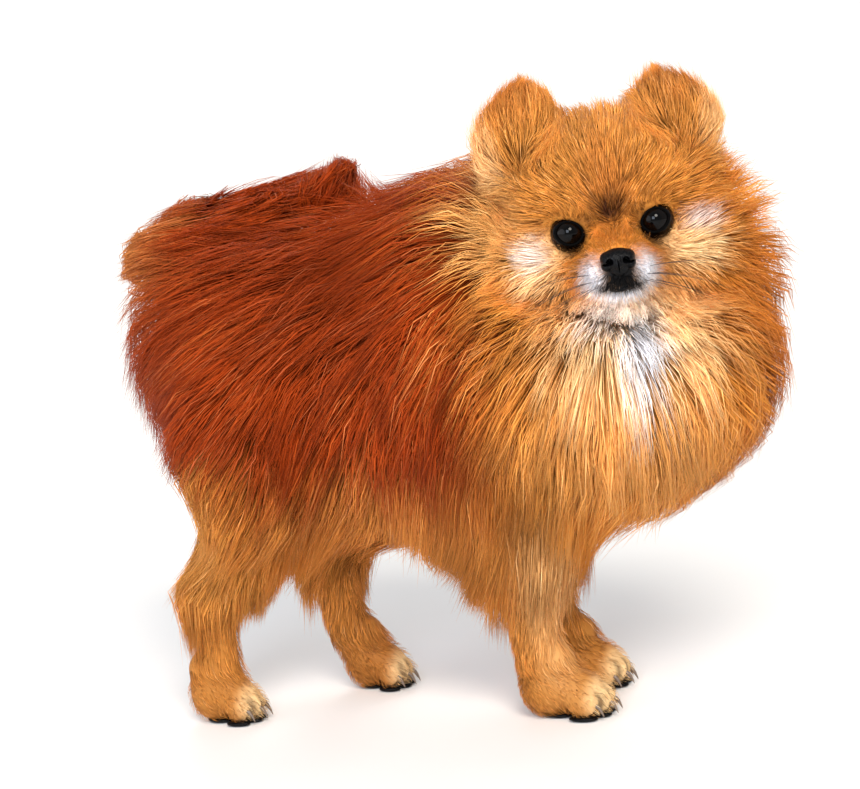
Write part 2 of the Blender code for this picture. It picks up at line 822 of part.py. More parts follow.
def build_head(finishes):
    """The head, its eyes, nose and ears."""
    nodes = []
    core = head_core(CORE_DEPTH)
    outline = head_cell()
    locks = head_locks(Coat(core, outline))
    remove([outline])
    extras = [lids(-1.0), lids(1.0), mouth(1.4, 1.1, 1.3), mouth(-1.4, 1.1, 1.3)]
    rooms = [nose(GAP), mouth(0.0, 2.4, 0.45)]
    for hand in (-1.0, 1.0):
        rooms += [eye(hand, GAP), ear_cell(hand, GAP)]
    nodes.append((node("head", core, locks + extras, [head_cell()], rooms), finishes["orange"]))
    for name, hand in (("right", -1.0), ("left", 1.0)):
        nodes.append((node(f"eye_{name}", eye(hand), [], [], []), finishes["brown"]))
        leaf = ear(hand)
        outline = ear_cell(hand)
        fringe = ear_locks(hand, Coat(leaf, outline))
        remove([outline])
        shell = node(f"ear_{name}", leaf, fringe, [ear_cell(hand)], [ear_cup(hand)])
        nodes.append((shell, finishes["orange"]))
    nodes.append((node("nose", nose(), [], [], nostrils()), finishes["black"]))
    return nodes


def build_trunk(finishes, body, coat):
    """The neck with its ruff, the torso and the tail."""
    def rooms_above(grow):
        return [head_cell(grow), ear_cell(-1.0, grow), ear_cell(1.0, grow)]

    neck = node("neck", copy_of(body), ruff_locks(coat), [neck_cell()], rooms_above(GAP))
    tail = node("tail", copy_of(body), tail_locks(coat), [tail_cell()], [neck_cell(GAP)])
    taken = rooms_above(GAP) + [neck_cell(GAP), tail_cell(GAP)]
    for hand in ("right", "left"):
        taken.append(thigh_cell(hand, GAP))
        taken.append(leg_cell(FRONT_LEG[hand], 116.0, -20.0, 2.0, GAP))
        taken.append(leg_cell(HIND_LEG[hand][2:], HOCK_CUT, -20.0, 14.0, GAP))
    torso = node("torso", copy_of(body), body_locks(coat), [], taken)
    return [(neck, finishes["gold"]), (torso, finishes["red"]), (tail, finishes["red"])]


def build_thighs(finishes, body, coat):
    """The thighs with their trousers."""
    nodes = []
    for hand in ("right", "left"):
        above = [neck_cell(GAP), tail_cell(GAP)]
        thigh = node(
            f"thigh_{hand}", copy_of(body), thigh_locks(coat, hand), [thigh_cell(hand)],
            above + [leg_cell(HIND_LEG[hand][2:], HOCK_CUT, -20.0, 14.0, GAP)],
        )
        nodes.append((thigh, finishes["red"]))
    return nodes


def build_limbs(finishes, body):
    """The legs and the paws."""
    nodes = []
    for hand in ("right", "left"):
        front = node(
            f"leg_front_{hand}", copy_of(body), [],
            [leg_cell(FRONT_LEG[hand], 116.0, PAW_TOP + GAP, 2.0)],
            [neck_cell(GAP)],
        )
        nodes.append((front, finishes["gold"]))
        hock = HIND_LEG[hand][4]
        hind = node(
            f"leg_hind_{hand}", copy_of(body), tufts([HOCK_TUFT], hand, hock[0]),
            [leg_cell(HIND_LEG[hand][2:], HOCK_CUT, PAW_TOP + GAP, 14.0)], [],
        )
        nodes.append((hind, finishes["gold"]))
    for name, (x, y, width, length) in PAWS.items():
        nodes.append((paw(name, x, y, width, length), finishes["gold"]))
    return nodes


def paw(name, x, y, width, length):
    """A paw of four toes with claws, flat where it stands."""
    heel = x - length * 0.35
    pieces = [
        ball((heel, y, FLOOR + 15.0), (length * 0.62, width * 0.95, 17.0)),
        ball((heel, y, FLOOR + 26.0), (width * 0.95, width * 0.85, 14.0)),
        ball((x + length * 0.1, y, FLOOR + 13.0), (length * 0.6, width * 0.9, 12.0)),
    ]
    claws = []
    for k in range(4):
        spread = (k - 1.5) / 1.5
        ahead = x + length * (0.52 - 0.2 * spread * spread)
        beside = y + width * 0.66 * spread
        pieces.append(ball((ahead, beside, FLOOR + 8.5), (length * 0.40, width * 0.33, 9.5)))
        tip = ahead + length * 0.37
        claws.append(tube(
            [(tip - 3.0, beside, FLOOR + 7.0, 1.8, 2.0), (tip + 2.4, beside, FLOOR + 5.2, 1.2, 1.3)],
            sides=5,
        ))
    core = blend(pieces, PAW_VOXEL, 3, PAW_FACES)
    slab = box((-REACH, -REACH, FLOOR), (REACH, REACH, PAW_TOP))
    return node(name, core, claws, [slab], [])


def settle(nodes):
    """Give each piece its finish, put the whole on its own middle and turn it to metres."""
    corners = [vert.co for piece, finish in nodes for vert in piece.data.vertices]
    low = [min(co[k] for co in corners) for k in range(3)]
    high = [max(co[k] for co in corners) for k in range(3)]
    middle = Vector(((low[0] + high[0]) / 2.0, (low[1] + high[1]) / 2.0, low[2]))
    for piece, finish in nodes:
        piece.data.transform(Matrix.Scale(MM, 4) @ Matrix.Translation(-middle))
        piece.data.materials.clear()
        piece.data.materials.append(finish)
        piece.data.update()


def main():
    """The whole dog, node by node."""
    for old in list(bpy.data.objects):
        bpy.data.objects.remove(old)
    finishes = {
        "red": material("coat_red", RED, 0.75),
        "orange": material("coat_orange", ORANGE, 0.75),
        "gold": material("coat_gold", GOLD, 0.75),
        "black": material("nose_leather", BLACK, 0.4),
        "brown": material("eye_brown", BROWN, 0.05),
    }
    body = body_core(CORE_DEPTH, BODY_FACES)
    outline = body_core(1.0, BODY_FACES)
    coat = Coat(body, outline)
    limbs = body_core(CORE_DEPTH, LIMB_FACES)
    nodes = build_head(finishes) + build_trunk(finishes, body, coat)
    nodes += build_thighs(finishes, body, coat) + build_limbs(finishes, limbs)
    remove([body, outline, limbs])
    settle(nodes)


if __name__ == "__main__":
    main()
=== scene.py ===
"""The looks of a life-size standing Pomeranian, red sable, its head turned over its right shoulder.

Sizes are in millimetres on the frame that the solids were drawn on: the dog faces +X with its left
side towards +Y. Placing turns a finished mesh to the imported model's own place, in metres.
"""

import logging
import math
from dataclasses import dataclass, field
from enum import Enum, IntEnum

import bpy
import numpy as np
from mathutils import Matrix, Vector
from mathutils.bvhtree import BVHTree
from mathutils.kdtree import KDTree


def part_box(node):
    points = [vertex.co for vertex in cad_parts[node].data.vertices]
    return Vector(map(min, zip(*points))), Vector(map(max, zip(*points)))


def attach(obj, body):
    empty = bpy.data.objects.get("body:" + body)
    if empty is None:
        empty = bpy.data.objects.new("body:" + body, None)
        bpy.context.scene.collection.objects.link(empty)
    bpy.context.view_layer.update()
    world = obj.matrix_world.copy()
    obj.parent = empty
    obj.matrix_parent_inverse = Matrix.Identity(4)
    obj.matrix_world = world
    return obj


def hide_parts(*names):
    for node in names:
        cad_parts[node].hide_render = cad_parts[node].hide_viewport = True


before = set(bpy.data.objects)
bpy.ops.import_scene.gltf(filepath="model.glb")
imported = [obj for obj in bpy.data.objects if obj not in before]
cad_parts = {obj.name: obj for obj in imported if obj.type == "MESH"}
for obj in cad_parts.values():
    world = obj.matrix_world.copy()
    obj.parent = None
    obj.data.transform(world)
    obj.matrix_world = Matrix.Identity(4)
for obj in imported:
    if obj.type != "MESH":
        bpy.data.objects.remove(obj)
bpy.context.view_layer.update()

# Units, shared names, and the floor's height on the drafting frame
MM = 0.001
BODY = "root"
BAKE_MAP = "OFBake"
FLOOR = -3.5

# The head's pose, and where the middle of its eye line is
FACE_TURN = math.radians(17.0)
FACE_PITCH = math.radians(8.0)
FACE_TILT = math.radians(3.35)
EYE_LINE = Vector((114.0, -60.0, 235.0))

# The head, by side, forward and up from the middle of the eye line
EYE_SIDE = 19.5
EYE_DEPTH = -8.2
EYE_RADIUS = 8.6
NOSE = np.array((0.0, 24.5, -15.0))

# A paw's toes, as shares of its length and width
TOES = 4
TOE_AHEAD = 0.52
TOE_BOW = 0.2
TOE_SPREAD = 0.66

LOG = logging.getLogger("pomeranian")


class Hand(Enum):
    """A side of the dog, with its sign on the head's side axis."""

    RIGHT = -1.0
    LEFT = 1.0

    @property
    def label(self) -> str:
        """The side's name in lower case."""
        return self.name.lower()


class Slot(Enum):
    """The record's finishes by kind of piece; the coat zones and claws name one each, but nothing reads it.
    """

    BODY = "body_coat"
    RUFF = "ruff_coat"
    FACE = "face_coat"
    LEG = "leg_coat"
    NOSE = "nose_leather"
    EYE = "eye"
    CLAW = "claw"


class Tone(IntEnum):
    """The coat's tones, each laid over the ones before it."""

    RED = 0
    GOLD = 1
    CREAM = 2
    WHITE = 3
    # DARK carries the coat's dark streaks and marks, and painted shade in the toe grooves, low on the paws
    # and under the ruff.
    DARK = 4
    BLACK = 5


class Shade(IntEnum):
    """What the shade attribute carries: two tones, the place along a tuft, which sets its painted shade, and
    its own lightness.
    """

    DARK = 0
    ALONG = 1
    STREAK = 2
    BLACK = 3


class Region(Enum):
    """A stretch of the dog where the coat has a way and length of its own."""

    NECK = "neck"
    TAIL = "tail"
    THIGH = "thigh"
    LEG = "leg"
    PAW = "paw"
    HEAD = "head"
    EAR = "ear"


# Shared helpers


def face_matrix() -> Matrix:
    """The head's own frame.

    Returns:
        The matrix from side, forward and up on the head to the dog's frame.
    """
    forward = Vector((
        math.sin(FACE_TURN) * math.cos(FACE_PITCH),
        -math.cos(FACE_TURN) * math.cos(FACE_PITCH),
        math.sin(FACE_PITCH),
    ))
    level = Vector((math.cos(FACE_TURN), math.sin(FACE_TURN), 0.0))
    side = level * math.cos(FACE_TILT) + forward.cross(level) * math.sin(FACE_TILT)
    matrix = Matrix((side, forward, forward.cross(side))).transposed().to_4x4()
    matrix.translation = EYE_LINE
    return matrix


FACE = face_matrix()
TURN = np.array(FACE.to_3x3())
SIDE, FORWARD, CROWN = TURN[:, 0], TURN[:, 1], TURN[:, 2]
DOWN = np.array((0.0, 0.0, -1.0))
MIDDLE = np.array(EYE_LINE)


def on_face(side: float, forward: float, up: float) -> Vector:
    """A point of the head in the dog's frame, by its distances from the middle of the eye line."""
    return FACE @ Vector((side, forward, up))


def to_face(points: np.ndarray) -> np.ndarray:
    """Points of the dog's frame by side, forward and up on the head."""
    return (points - MIDDLE) @ TURN


def unit(vectors: np.ndarray) -> np.ndarray:
    """The vectors at a length of one."""
    return vectors / np.maximum(np.linalg.norm(vectors, axis=-1, keepdims=True), 1e-9)


def ramp(low: float, high: float, value: np.ndarray) -> np.ndarray:
    """A smooth rise from 0 at low to 1 at high, or a fall where high is under low."""
    share = np.clip((value - low) / (high - low), 0.0, 1.0)
    return share * share * (3.0 - 2.0 * share)


def least_reach(points: np.ndarray, balls: list) -> np.ndarray:
    """How far each point lies from the nearest of several ellipsoids, given by centre and radii."""
    return np.min([reach(points, centre, radii) for centre, radii in balls], axis=0)


def within(points: np.ndarray, spans: tuple) -> np.ndarray:
    """How far inside a place each point is, by soft spans along the dog's axes.

    Args:
        points: Places on the drafting frame.
        spans: For each an axis, where its ramp is 0 and where it is 1. The axis "out" is the
            distance from the dog's middle plane.

    Returns:
        A share from 0 outside to 1 well inside.
    """
    x, y, z = points.T
    axes = {"x": x, "y": y, "z": z, "out": np.abs(y)}
    share = np.ones(len(points))
    for axis, none, full in spans:
        share = share * ramp(none, full, axes[axis])
    return share


def mix(first: np.ndarray, second: np.ndarray, share: np.ndarray) -> np.ndarray:
    """Vectors a share of the way from the first to the second."""
    return first + (second - first) * share[:, None]


def reach(points: np.ndarray, centre: tuple, radii: tuple, on_head: bool = False) -> np.ndarray:
    """How far points lie from an ellipsoid's middle.

    Args:
        points: Points of the dog's frame, or of the head's where on_head is set.
        centre: The ellipsoid's middle.
        radii: Its three radii along the frame's axes.
        on_head: Whether the ellipsoid is drawn on the head's frame.

    Returns:
        For each point 0 at the middle, 1 on the surface and more outside.
    """
    local = to_face(points) if on_head else points
    return np.linalg.norm((local - np.array(centre)) / np.array(radii), axis=1)


def between(first: tuple, second: tuple, share: float) -> list[float]:
    """Each number a share of the way from the first set to the second."""
    return [a + share * (b - a) for a, b in zip(first, second)]


def linear(code: str) -> tuple[float, float, float, float]:
    """Linear colour from an sRGB hex code.

    Args:
        code: Six hex digits.

    Returns:
        Red, green, blue and an alpha of one.
    """
    parts = [int(code[k:k + 2], 16) / 255.0 for k in (0, 2, 4)]
    return (*[c / 12.92 if c <= 0.04045 else ((c + 0.055) / 1.055) ** 2.4 for c in parts], 1.0)


def toe_places(paw: tuple) -> list[tuple[float, float]]:
    """Where the toes of a paw are, as x and y, from its own x, y, width and length."""
    x, y, width, length = paw
    half = (TOES - 1) / 2.0
    places = []
    for k in range(TOES):
        spread = (k - half) / half
        ahead = x + length * (TOE_AHEAD - TOE_BOW * spread * spread)
        places.append((ahead, y + width * TOE_SPREAD * spread))
    return places


def offset_to_frame() -> np.ndarray:
    """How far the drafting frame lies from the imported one, from the two eyes that both have."""
    middles = []
    for hand in Hand:
        low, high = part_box(f"eye_{hand.label}")
        drawn = on_face(hand.value * EYE_SIDE, EYE_DEPTH, 0.0)
        middles.append(np.array(drawn) - np.array(low + high) / 2.0 / MM)
    return np.mean(middles, axis=0)


OFFSET = offset_to_frame()
TO_FRAME = Matrix.Scale(MM, 4) @ Matrix.Translation(-Vector(OFFSET))


def clear() -> None:
    """Deselect everything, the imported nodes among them."""
    bpy.ops.object.select_all(action="DESELECT")


def pick(pieces: list[bpy.types.Object]) -> None:
    """Select these pieces alone, the first of them active."""
    clear()
    for piece in pieces:
        piece.select_set(True)
    bpy.context.view_layer.objects.active = pieces[0]


def placed(name: str, data: bpy.types.ID) -> bpy.types.Object:
    """A new object of the scene, from its mesh, curve, light or camera."""
    piece = bpy.data.objects.new(name, data)
    bpy.context.scene.collection.objects.link(piece)
    return piece


def discard(piece: bpy.types.Object) -> None:
    """Delete a piece that only helped to shape others."""
    pick([piece])
    bpy.ops.object.delete()


def smooth(piece: bpy.types.Object) -> None:
    """Shade a piece smooth."""
    pick([piece])
    bpy.ops.object.shade_smooth()


def apply_modifier(piece: bpy.types.Object, kind: str, **settings: object) -> None:
    """Change a piece's mesh by one modifier.

    Args:
        piece: The piece, which is made active.
        kind: The modifier's type.
        settings: Its settings by name.
    """
    pick([piece])
    change = piece.modifiers.new(kind.lower(), kind)
    for name, value in settings.items():
        setattr(change, name, value)
    bpy.ops.object.modifier_apply(modifier=change.name)


def ellipsoid(centre: tuple, radii: tuple, on_head: bool = False, detail: int = 24) -> bpy.types.Object:
    """A sphere drawn out to three radii.

    Args:
        centre: Its middle.
        radii: Its three radii.
        on_head: Whether both are on the head's frame.
        detail: How many segments go round.

    Returns:
        The object, its shape in its mesh.
    """
    clear()
    bpy.ops.mesh.primitive_uv_sphere_add(
        segments=detail,
        ring_count=detail // 2,
        radius=1.0,
        location=FACE @ Vector(centre) if on_head else centre,
        rotation=FACE.to_euler() if on_head else (0.0, 0.0, 0.0),
        scale=radii,
    )
    bpy.ops.object.transform_apply(location=True, rotation=True, scale=True)
    return bpy.context.object


def joined(pieces: list[bpy.types.Object], name: str) -> bpy.types.Object:
    """One object of several."""
    pick(pieces)
    if len(pieces) > 1:
        bpy.ops.object.join()
    pieces[0].name = name
    pieces[0].data.name = name
    return pieces[0]


def melted(pieces: list[bpy.types.Object], name: str, voxel: float, rounds: int) -> bpy.types.Object:
    """One smooth closed form of overlapping pieces.

    Args:
        pieces: The pieces.
        name: The form's name.
        voxel: The size of the grid that it is drawn on.
        rounds: How often it is smoothed.

    Returns:
        The form.
    """
    form = joined(pieces, name)
    apply_modifier(form, "REMESH", mode="VOXEL", voxel_size=voxel, use_smooth_shade=True)
    apply_modifier(form, "SMOOTH", factor=0.5, iterations=rounds)
    return form


def cut(piece: bpy.types.Object, tool: bpy.types.Object) -> None:
    """Take a tool's shape out of a piece, and the tool away."""
    apply_modifier(piece, "BOOLEAN", operation="DIFFERENCE", object=tool, solver="EXACT")
    discard(tool)


def tube_along(
    name: str, points: list[Vector], widths: list[float], radius: float, closed: bool = False, sides: int = 3
) -> bpy.types.Object:
    """A tapered tube along points.

    Args:
        name: The piece's name.
        points: What its middle follows.
        widths: Its radius at each point, as a share of radius.
        radius: The full radius.
        closed: Whether its ends meet.
        sides: How finely its round is drawn.

    Returns:
        The tube as a mesh with closed ends.
    """
    line = bpy.data.curves.new(name, "CURVE")
    line.dimensions = "3D"
    line.bevel_depth = radius
    line.bevel_resolution = sides
    line.use_fill_caps = True
    spline = line.splines.new("POLY")
    spline.points.add(len(points) - 1)
    spline.use_cyclic_u = closed
    for point, place, width in zip(spline.points, points, widths):
        point.co = (*place, 1.0)
        point.radius = width
    pick([placed(name, line)])
    bpy.ops.object.convert(target="MESH")
    return bpy.context.object


def seat(piece: bpy.types.Object, name: str, finish: bpy.types.Material) -> bpy.types.Object:
    """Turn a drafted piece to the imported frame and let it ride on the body.

    Args:
        piece: The piece, in millimetres on the drafting frame.
        name: Its name.
        finish: Its material.

    Returns:
        The piece.
    """
    piece.name = name
    piece.data.name = name
    piece.data.transform(TO_FRAME)
    piece.data.materials.clear()
    piece.data.materials.append(finish)
    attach(piece, BODY)
    LOG.info("%s: %d faces", name, len(piece.data.polygons))
    return piece


# Finishes


def add(tree: bpy.types.NodeTree, kind: str, links: dict, **settings: object) -> bpy.types.Node:
    """Add a node with its settings and its inputs.

    Args:
        tree: The material's nodes.
        kind: The node's type.
        links: For each input, by name or number, a socket to link or a value to set.
        settings: The node's own settings.

    Returns:
        The node.
    """
    node = tree.nodes.new(kind)
    for name, value in settings.items():
        setattr(node, name, value)
    for key, source in links.items():
        if isinstance(source, bpy.types.NodeSocket):
            tree.links.new(source, node.inputs[key])
        else:
            node.inputs[key].default_value = source
    return node


def blended(tree: bpy.types.NodeTree, share: object, first: object, second: object) -> bpy.types.NodeSocket:
    """A colour mixed from two by a share, as the output of a Mix node."""
    return add(tree, "ShaderNodeMix", {0: share, 6: first, 7: second}, data_type="RGBA").outputs[2]


def pattern(tree: bpy.types.NodeTree, kind: str, grain_mm: float, **inputs: float) -> bpy.types.Node:
    """A texture that lies on the object's own place, its grain of a real size.

    Args:
        tree: The material's nodes.
        kind: The texture node's type.
        grain_mm: The grain's size.
        inputs: Other inputs by name.

    Returns:
        The texture's node.
    """
    place = add(tree, "ShaderNodeTexCoord", {}).outputs["Object"]
    return add(tree, kind, {"Vector": place, "Scale": 1.0 / (grain_mm * MM), **inputs})


def paint_points(mesh: bpy.types.Mesh, tone: np.ndarray, shade: np.ndarray) -> None:
    """Write what the coat's finish mixes its colour from, on every point of a mesh."""
    for name, values in (("tone", tone), ("shade", shade)):
        layer = mesh.color_attributes.new(name, "FLOAT_COLOR", "POINT")
        layer.data.foreach_set("color", np.ascontiguousarray(values).ravel())


def new_finish(name: str) -> tuple[bpy.types.Material, bpy.types.NodeTree, bpy.types.Node]:
    """A material with its nodes and its shader."""
    finish = bpy.data.materials.new(name)
    finish.use_nodes = True
    return finish, finish.node_tree, finish.node_tree.nodes["Principled BSDF"]


def tuned(shader: bpy.types.Node, **values: object) -> None:
    """Set a shader's sockets, their names in lower case with low lines for spaces."""
    names = {socket.name.lower().replace(" ", "_"): socket for socket in shader.inputs}
    for name, value in values.items():
        names[name].default_value = value


@dataclass(frozen=True)
class CoatFinish:
    """Guard hair over undercoat, clean and brushed: satin, lighter to the tip, and darker at the root as
    painted shade deep in the coat.
    """

    name: str = "guard_hair"
    orange: str = "F29A3C"
    mahogany: str = "AE400A"
    gold: str = "EBA452"
    cream: str = "FFE2AA"
    white: str = "E9EBF2"
    # dark: the coat's dark streaks and marks, and painted shade in the toe grooves, low on the paws and
    # under the ruff
    dark: str = "34120A"
    black: str = "0B0A0B"
    # painted shade at the root, and the light at the tip
    root_light: float = 0.5
    tip_light: float = 1.3
    dark_streak: float = 0.5
    light_streak: float = 1.46
    roughness: float = 0.58
    specular: float = 0.14
    ior: float = 1.5

    def build(self) -> bpy.types.Material:
        """Mix the tones by the shares that each strand carries.

        Returns:
            The material, the same for skin and coat.
        """
        finish, tree, shader = new_finish(self.name)
        tone = add(tree, "ShaderNodeAttribute", {}, attribute_name="tone")
        shade = add(tree, "ShaderNodeAttribute", {}, attribute_name="shade")
        tones = add(tree, "ShaderNodeSeparateColor", {"Color": tone.outputs["Color"]})
        shades = add(tree, "ShaderNodeSeparateColor", {"Color": shade.outputs["Color"]})
        colour = linear(self.orange)
        for share, laid_over in (
            (tones.outputs[Tone.RED], self.mahogany),
            (tones.outputs[Tone.GOLD], self.gold),
            (tones.outputs[Tone.CREAM], self.cream),
            (tone.outputs["Alpha"], self.white),
            (shades.outputs[Shade.DARK], self.dark),
            (shade.outputs["Alpha"], self.black),
        ):
            colour = blended(tree, share, colour, linear(laid_over))
        # Painted shade: each tuft darker towards its root, where the coat is deep, and lighter to its tip.
        light = add(
            tree, "ShaderNodeMapRange",
            {"Value": shades.outputs[Shade.ALONG], "To Min": self.root_light, "To Max": self.tip_light},
        )
        vary = add(
            tree, "ShaderNodeMapRange",
            {"Value": shades.outputs[Shade.STREAK], "To Min": self.dark_streak, "To Max": self.light_streak},
        )
        strength = add(
            tree, "ShaderNodeMath", {0: light.outputs[0], 1: vary.outputs[0]}, operation="MULTIPLY",
        )
        scaled = add(
            tree, "ShaderNodeVectorMath", {0: colour, "Scale": strength.outputs[0]}, operation="SCALE",
        )
        tree.links.new(scaled.outputs[0], shader.inputs["Base Color"])
        tuned(shader, roughness=self.roughness, ior=self.ior, specular_ior_level=self.specular)
        return finish


@dataclass(frozen=True)
class EyeFinish:
    """A wet cornea over a very dark brown iris and a black pupil."""

    name: str = "cornea_over_dark_iris"
    iris: str = "0C0603"
    iris_edge: str = "030202"
    pupil: str = "010101"
    pupil_radius: float = 2.6
    pupil_blend: float = 0.5
    iris_radius: float = 6.4
    iris_clear: float = 0.75
    streaks_per_mm: float = 1.4
    streak_detail: float = 3.0
    roughness: float = 0.05
    specular: float = 0.2
    ior: float = 1.42

    def build(self, centre: Vector, gaze: Vector) -> bpy.types.Material:
        """Colour by the angle from the gaze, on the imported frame.

        Args:
            centre: The eyeball's middle, in metres.
            gaze: Where the eye looks.

        Returns:
            The material.
        """
        finish, tree, shader = new_finish(self.name)
        place = add(tree, "ShaderNodeTexCoord", {})
        local = add(
            tree, "ShaderNodeVectorMath", {0: place.outputs["Object"], 1: centre}, operation="SUBTRACT",
        )
        off = add(
            tree, "ShaderNodeVectorMath", {0: local.outputs[0], 1: gaze}, operation="CROSS_PRODUCT",
        )
        away = add(tree, "ShaderNodeVectorMath", {0: off.outputs[0]}, operation="LENGTH")
        streaks = add(
            tree, "ShaderNodeTexNoise",
            {"Vector": local.outputs[0], "Scale": self.streaks_per_mm / MM,
             "Detail": self.streak_detail},
        )
        brown = blended(tree, streaks.outputs[0], linear(self.iris), linear(self.iris_edge))
        edge = add(
            tree, "ShaderNodeMapRange",
            {"Value": away.outputs["Value"], "From Min": self.iris_radius * self.iris_clear * MM,
             "From Max": self.iris_radius * MM},
        )
        brown = blended(tree, edge.outputs[0], brown, linear(self.iris_edge))
        inner = add(
            tree, "ShaderNodeMapRange",
            {"Value": away.outputs["Value"], "From Min": self.pupil_radius * MM,
             "From Max": (self.pupil_radius + self.pupil_blend) * MM},
        )
        colour = blended(tree, inner.outputs[0], linear(self.pupil), brown)
        tree.links.new(colour, shader.inputs["Base Color"])
        tuned(shader, roughness=self.roughness, ior=self.ior, specular_ior_level=self.specular)
        return finish


@dataclass(frozen=True)
class LeatherFinish:
    """Bare skin of the nose, lips and lids: black, pebbled and a little moist."""

    name: str = "pebbled_nose_leather"
    deep: str = "030304"
    raised: str = "0B0B0D"
    pebble_mm: float = 0.75
    roughness: float = 0.3
    bump: float = 0.6
    specular: float = 0.13
    ior: float = 1.45
    pebble_rise_mm: float = 0.25
    pebble_top: float = 0.1
    pebble_foot: float = 0.7

    def build(self) -> bpy.types.Material:
        """Pebbles from cells of a real size, raised and a little lighter.

        Returns:
            The material.
        """
        finish, tree, shader = new_finish(self.name)
        cells = pattern(tree, "ShaderNodeTexVoronoi", self.pebble_mm)
        rise = add(
            tree, "ShaderNodeMapRange",
            {"Value": cells.outputs["Distance"], "From Min": self.pebble_top, "From Max": self.pebble_foot,
             "To Min": 1.0, "To Max": 0.0},
        )
        colour = blended(tree, rise.outputs[0], linear(self.deep), linear(self.raised))
        bump = add(
            tree, "ShaderNodeBump",
            {"Height": rise.outputs[0], "Strength": self.bump, "Distance": self.pebble_rise_mm * MM},
        )
        tree.links.new(colour, shader.inputs["Base Color"])
        tree.links.new(bump.outputs[0], shader.inputs["Normal"])
        tuned(shader, roughness=self.roughness, ior=self.ior, specular_ior_level=self.specular)
        return finish


@dataclass(frozen=True)
class HornFinish:
    """Keratin of claws and whiskers: dense, smooth, with faint lengthwise growth lines."""

    name: str
    base: str
    tip: str
    line_mm: float = 0.5
    line_detail: float = 2.0
    roughness: float = 0.35
    ior: float = 1.54

    def build(self) -> bpy.types.Material:
        """Two tones by a fine noise at the growth lines' spacing.

        Returns:
            The material.
        """
        finish, tree, shader = new_finish(self.name)
        grain = pattern(tree, "ShaderNodeTexNoise", self.line_mm, Detail=self.line_detail)
        colour = blended(tree, grain.outputs[0], linear(self.base), linear(self.tip))
        tree.links.new(colour, shader.inputs["Base Color"])
        tuned(shader, roughness=self.roughness, ior=self.ior)
        return finish


@dataclass(frozen=True)
class PlasterFinish:
    """A matt painted studio floor: even, pale, with a barely seen mottling."""

    name: str = "matt_studio_paint"
    light: str = "F4F3F1"
    shade: str = "ECEBE8"
    mottle_mm: float = 140.0
    roughness: float = 0.8
    specular: float = 0.2

    def build(self) -> bpy.types.Material:
        """Two close whites by a broad noise.

        Returns:
            The material.
        """
        finish, tree, shader = new_finish(self.name)
        mottle = pattern(tree, "ShaderNodeTexNoise", self.mottle_mm)
        colour = blended(tree, mottle.outputs[0], linear(self.light), linear(self.shade))
        tree.links.new(colour, shader.inputs["Base Color"])
        tuned(shader, roughness=self.roughness, specular_ior_level=self.specular)
        return finish


# The body's form


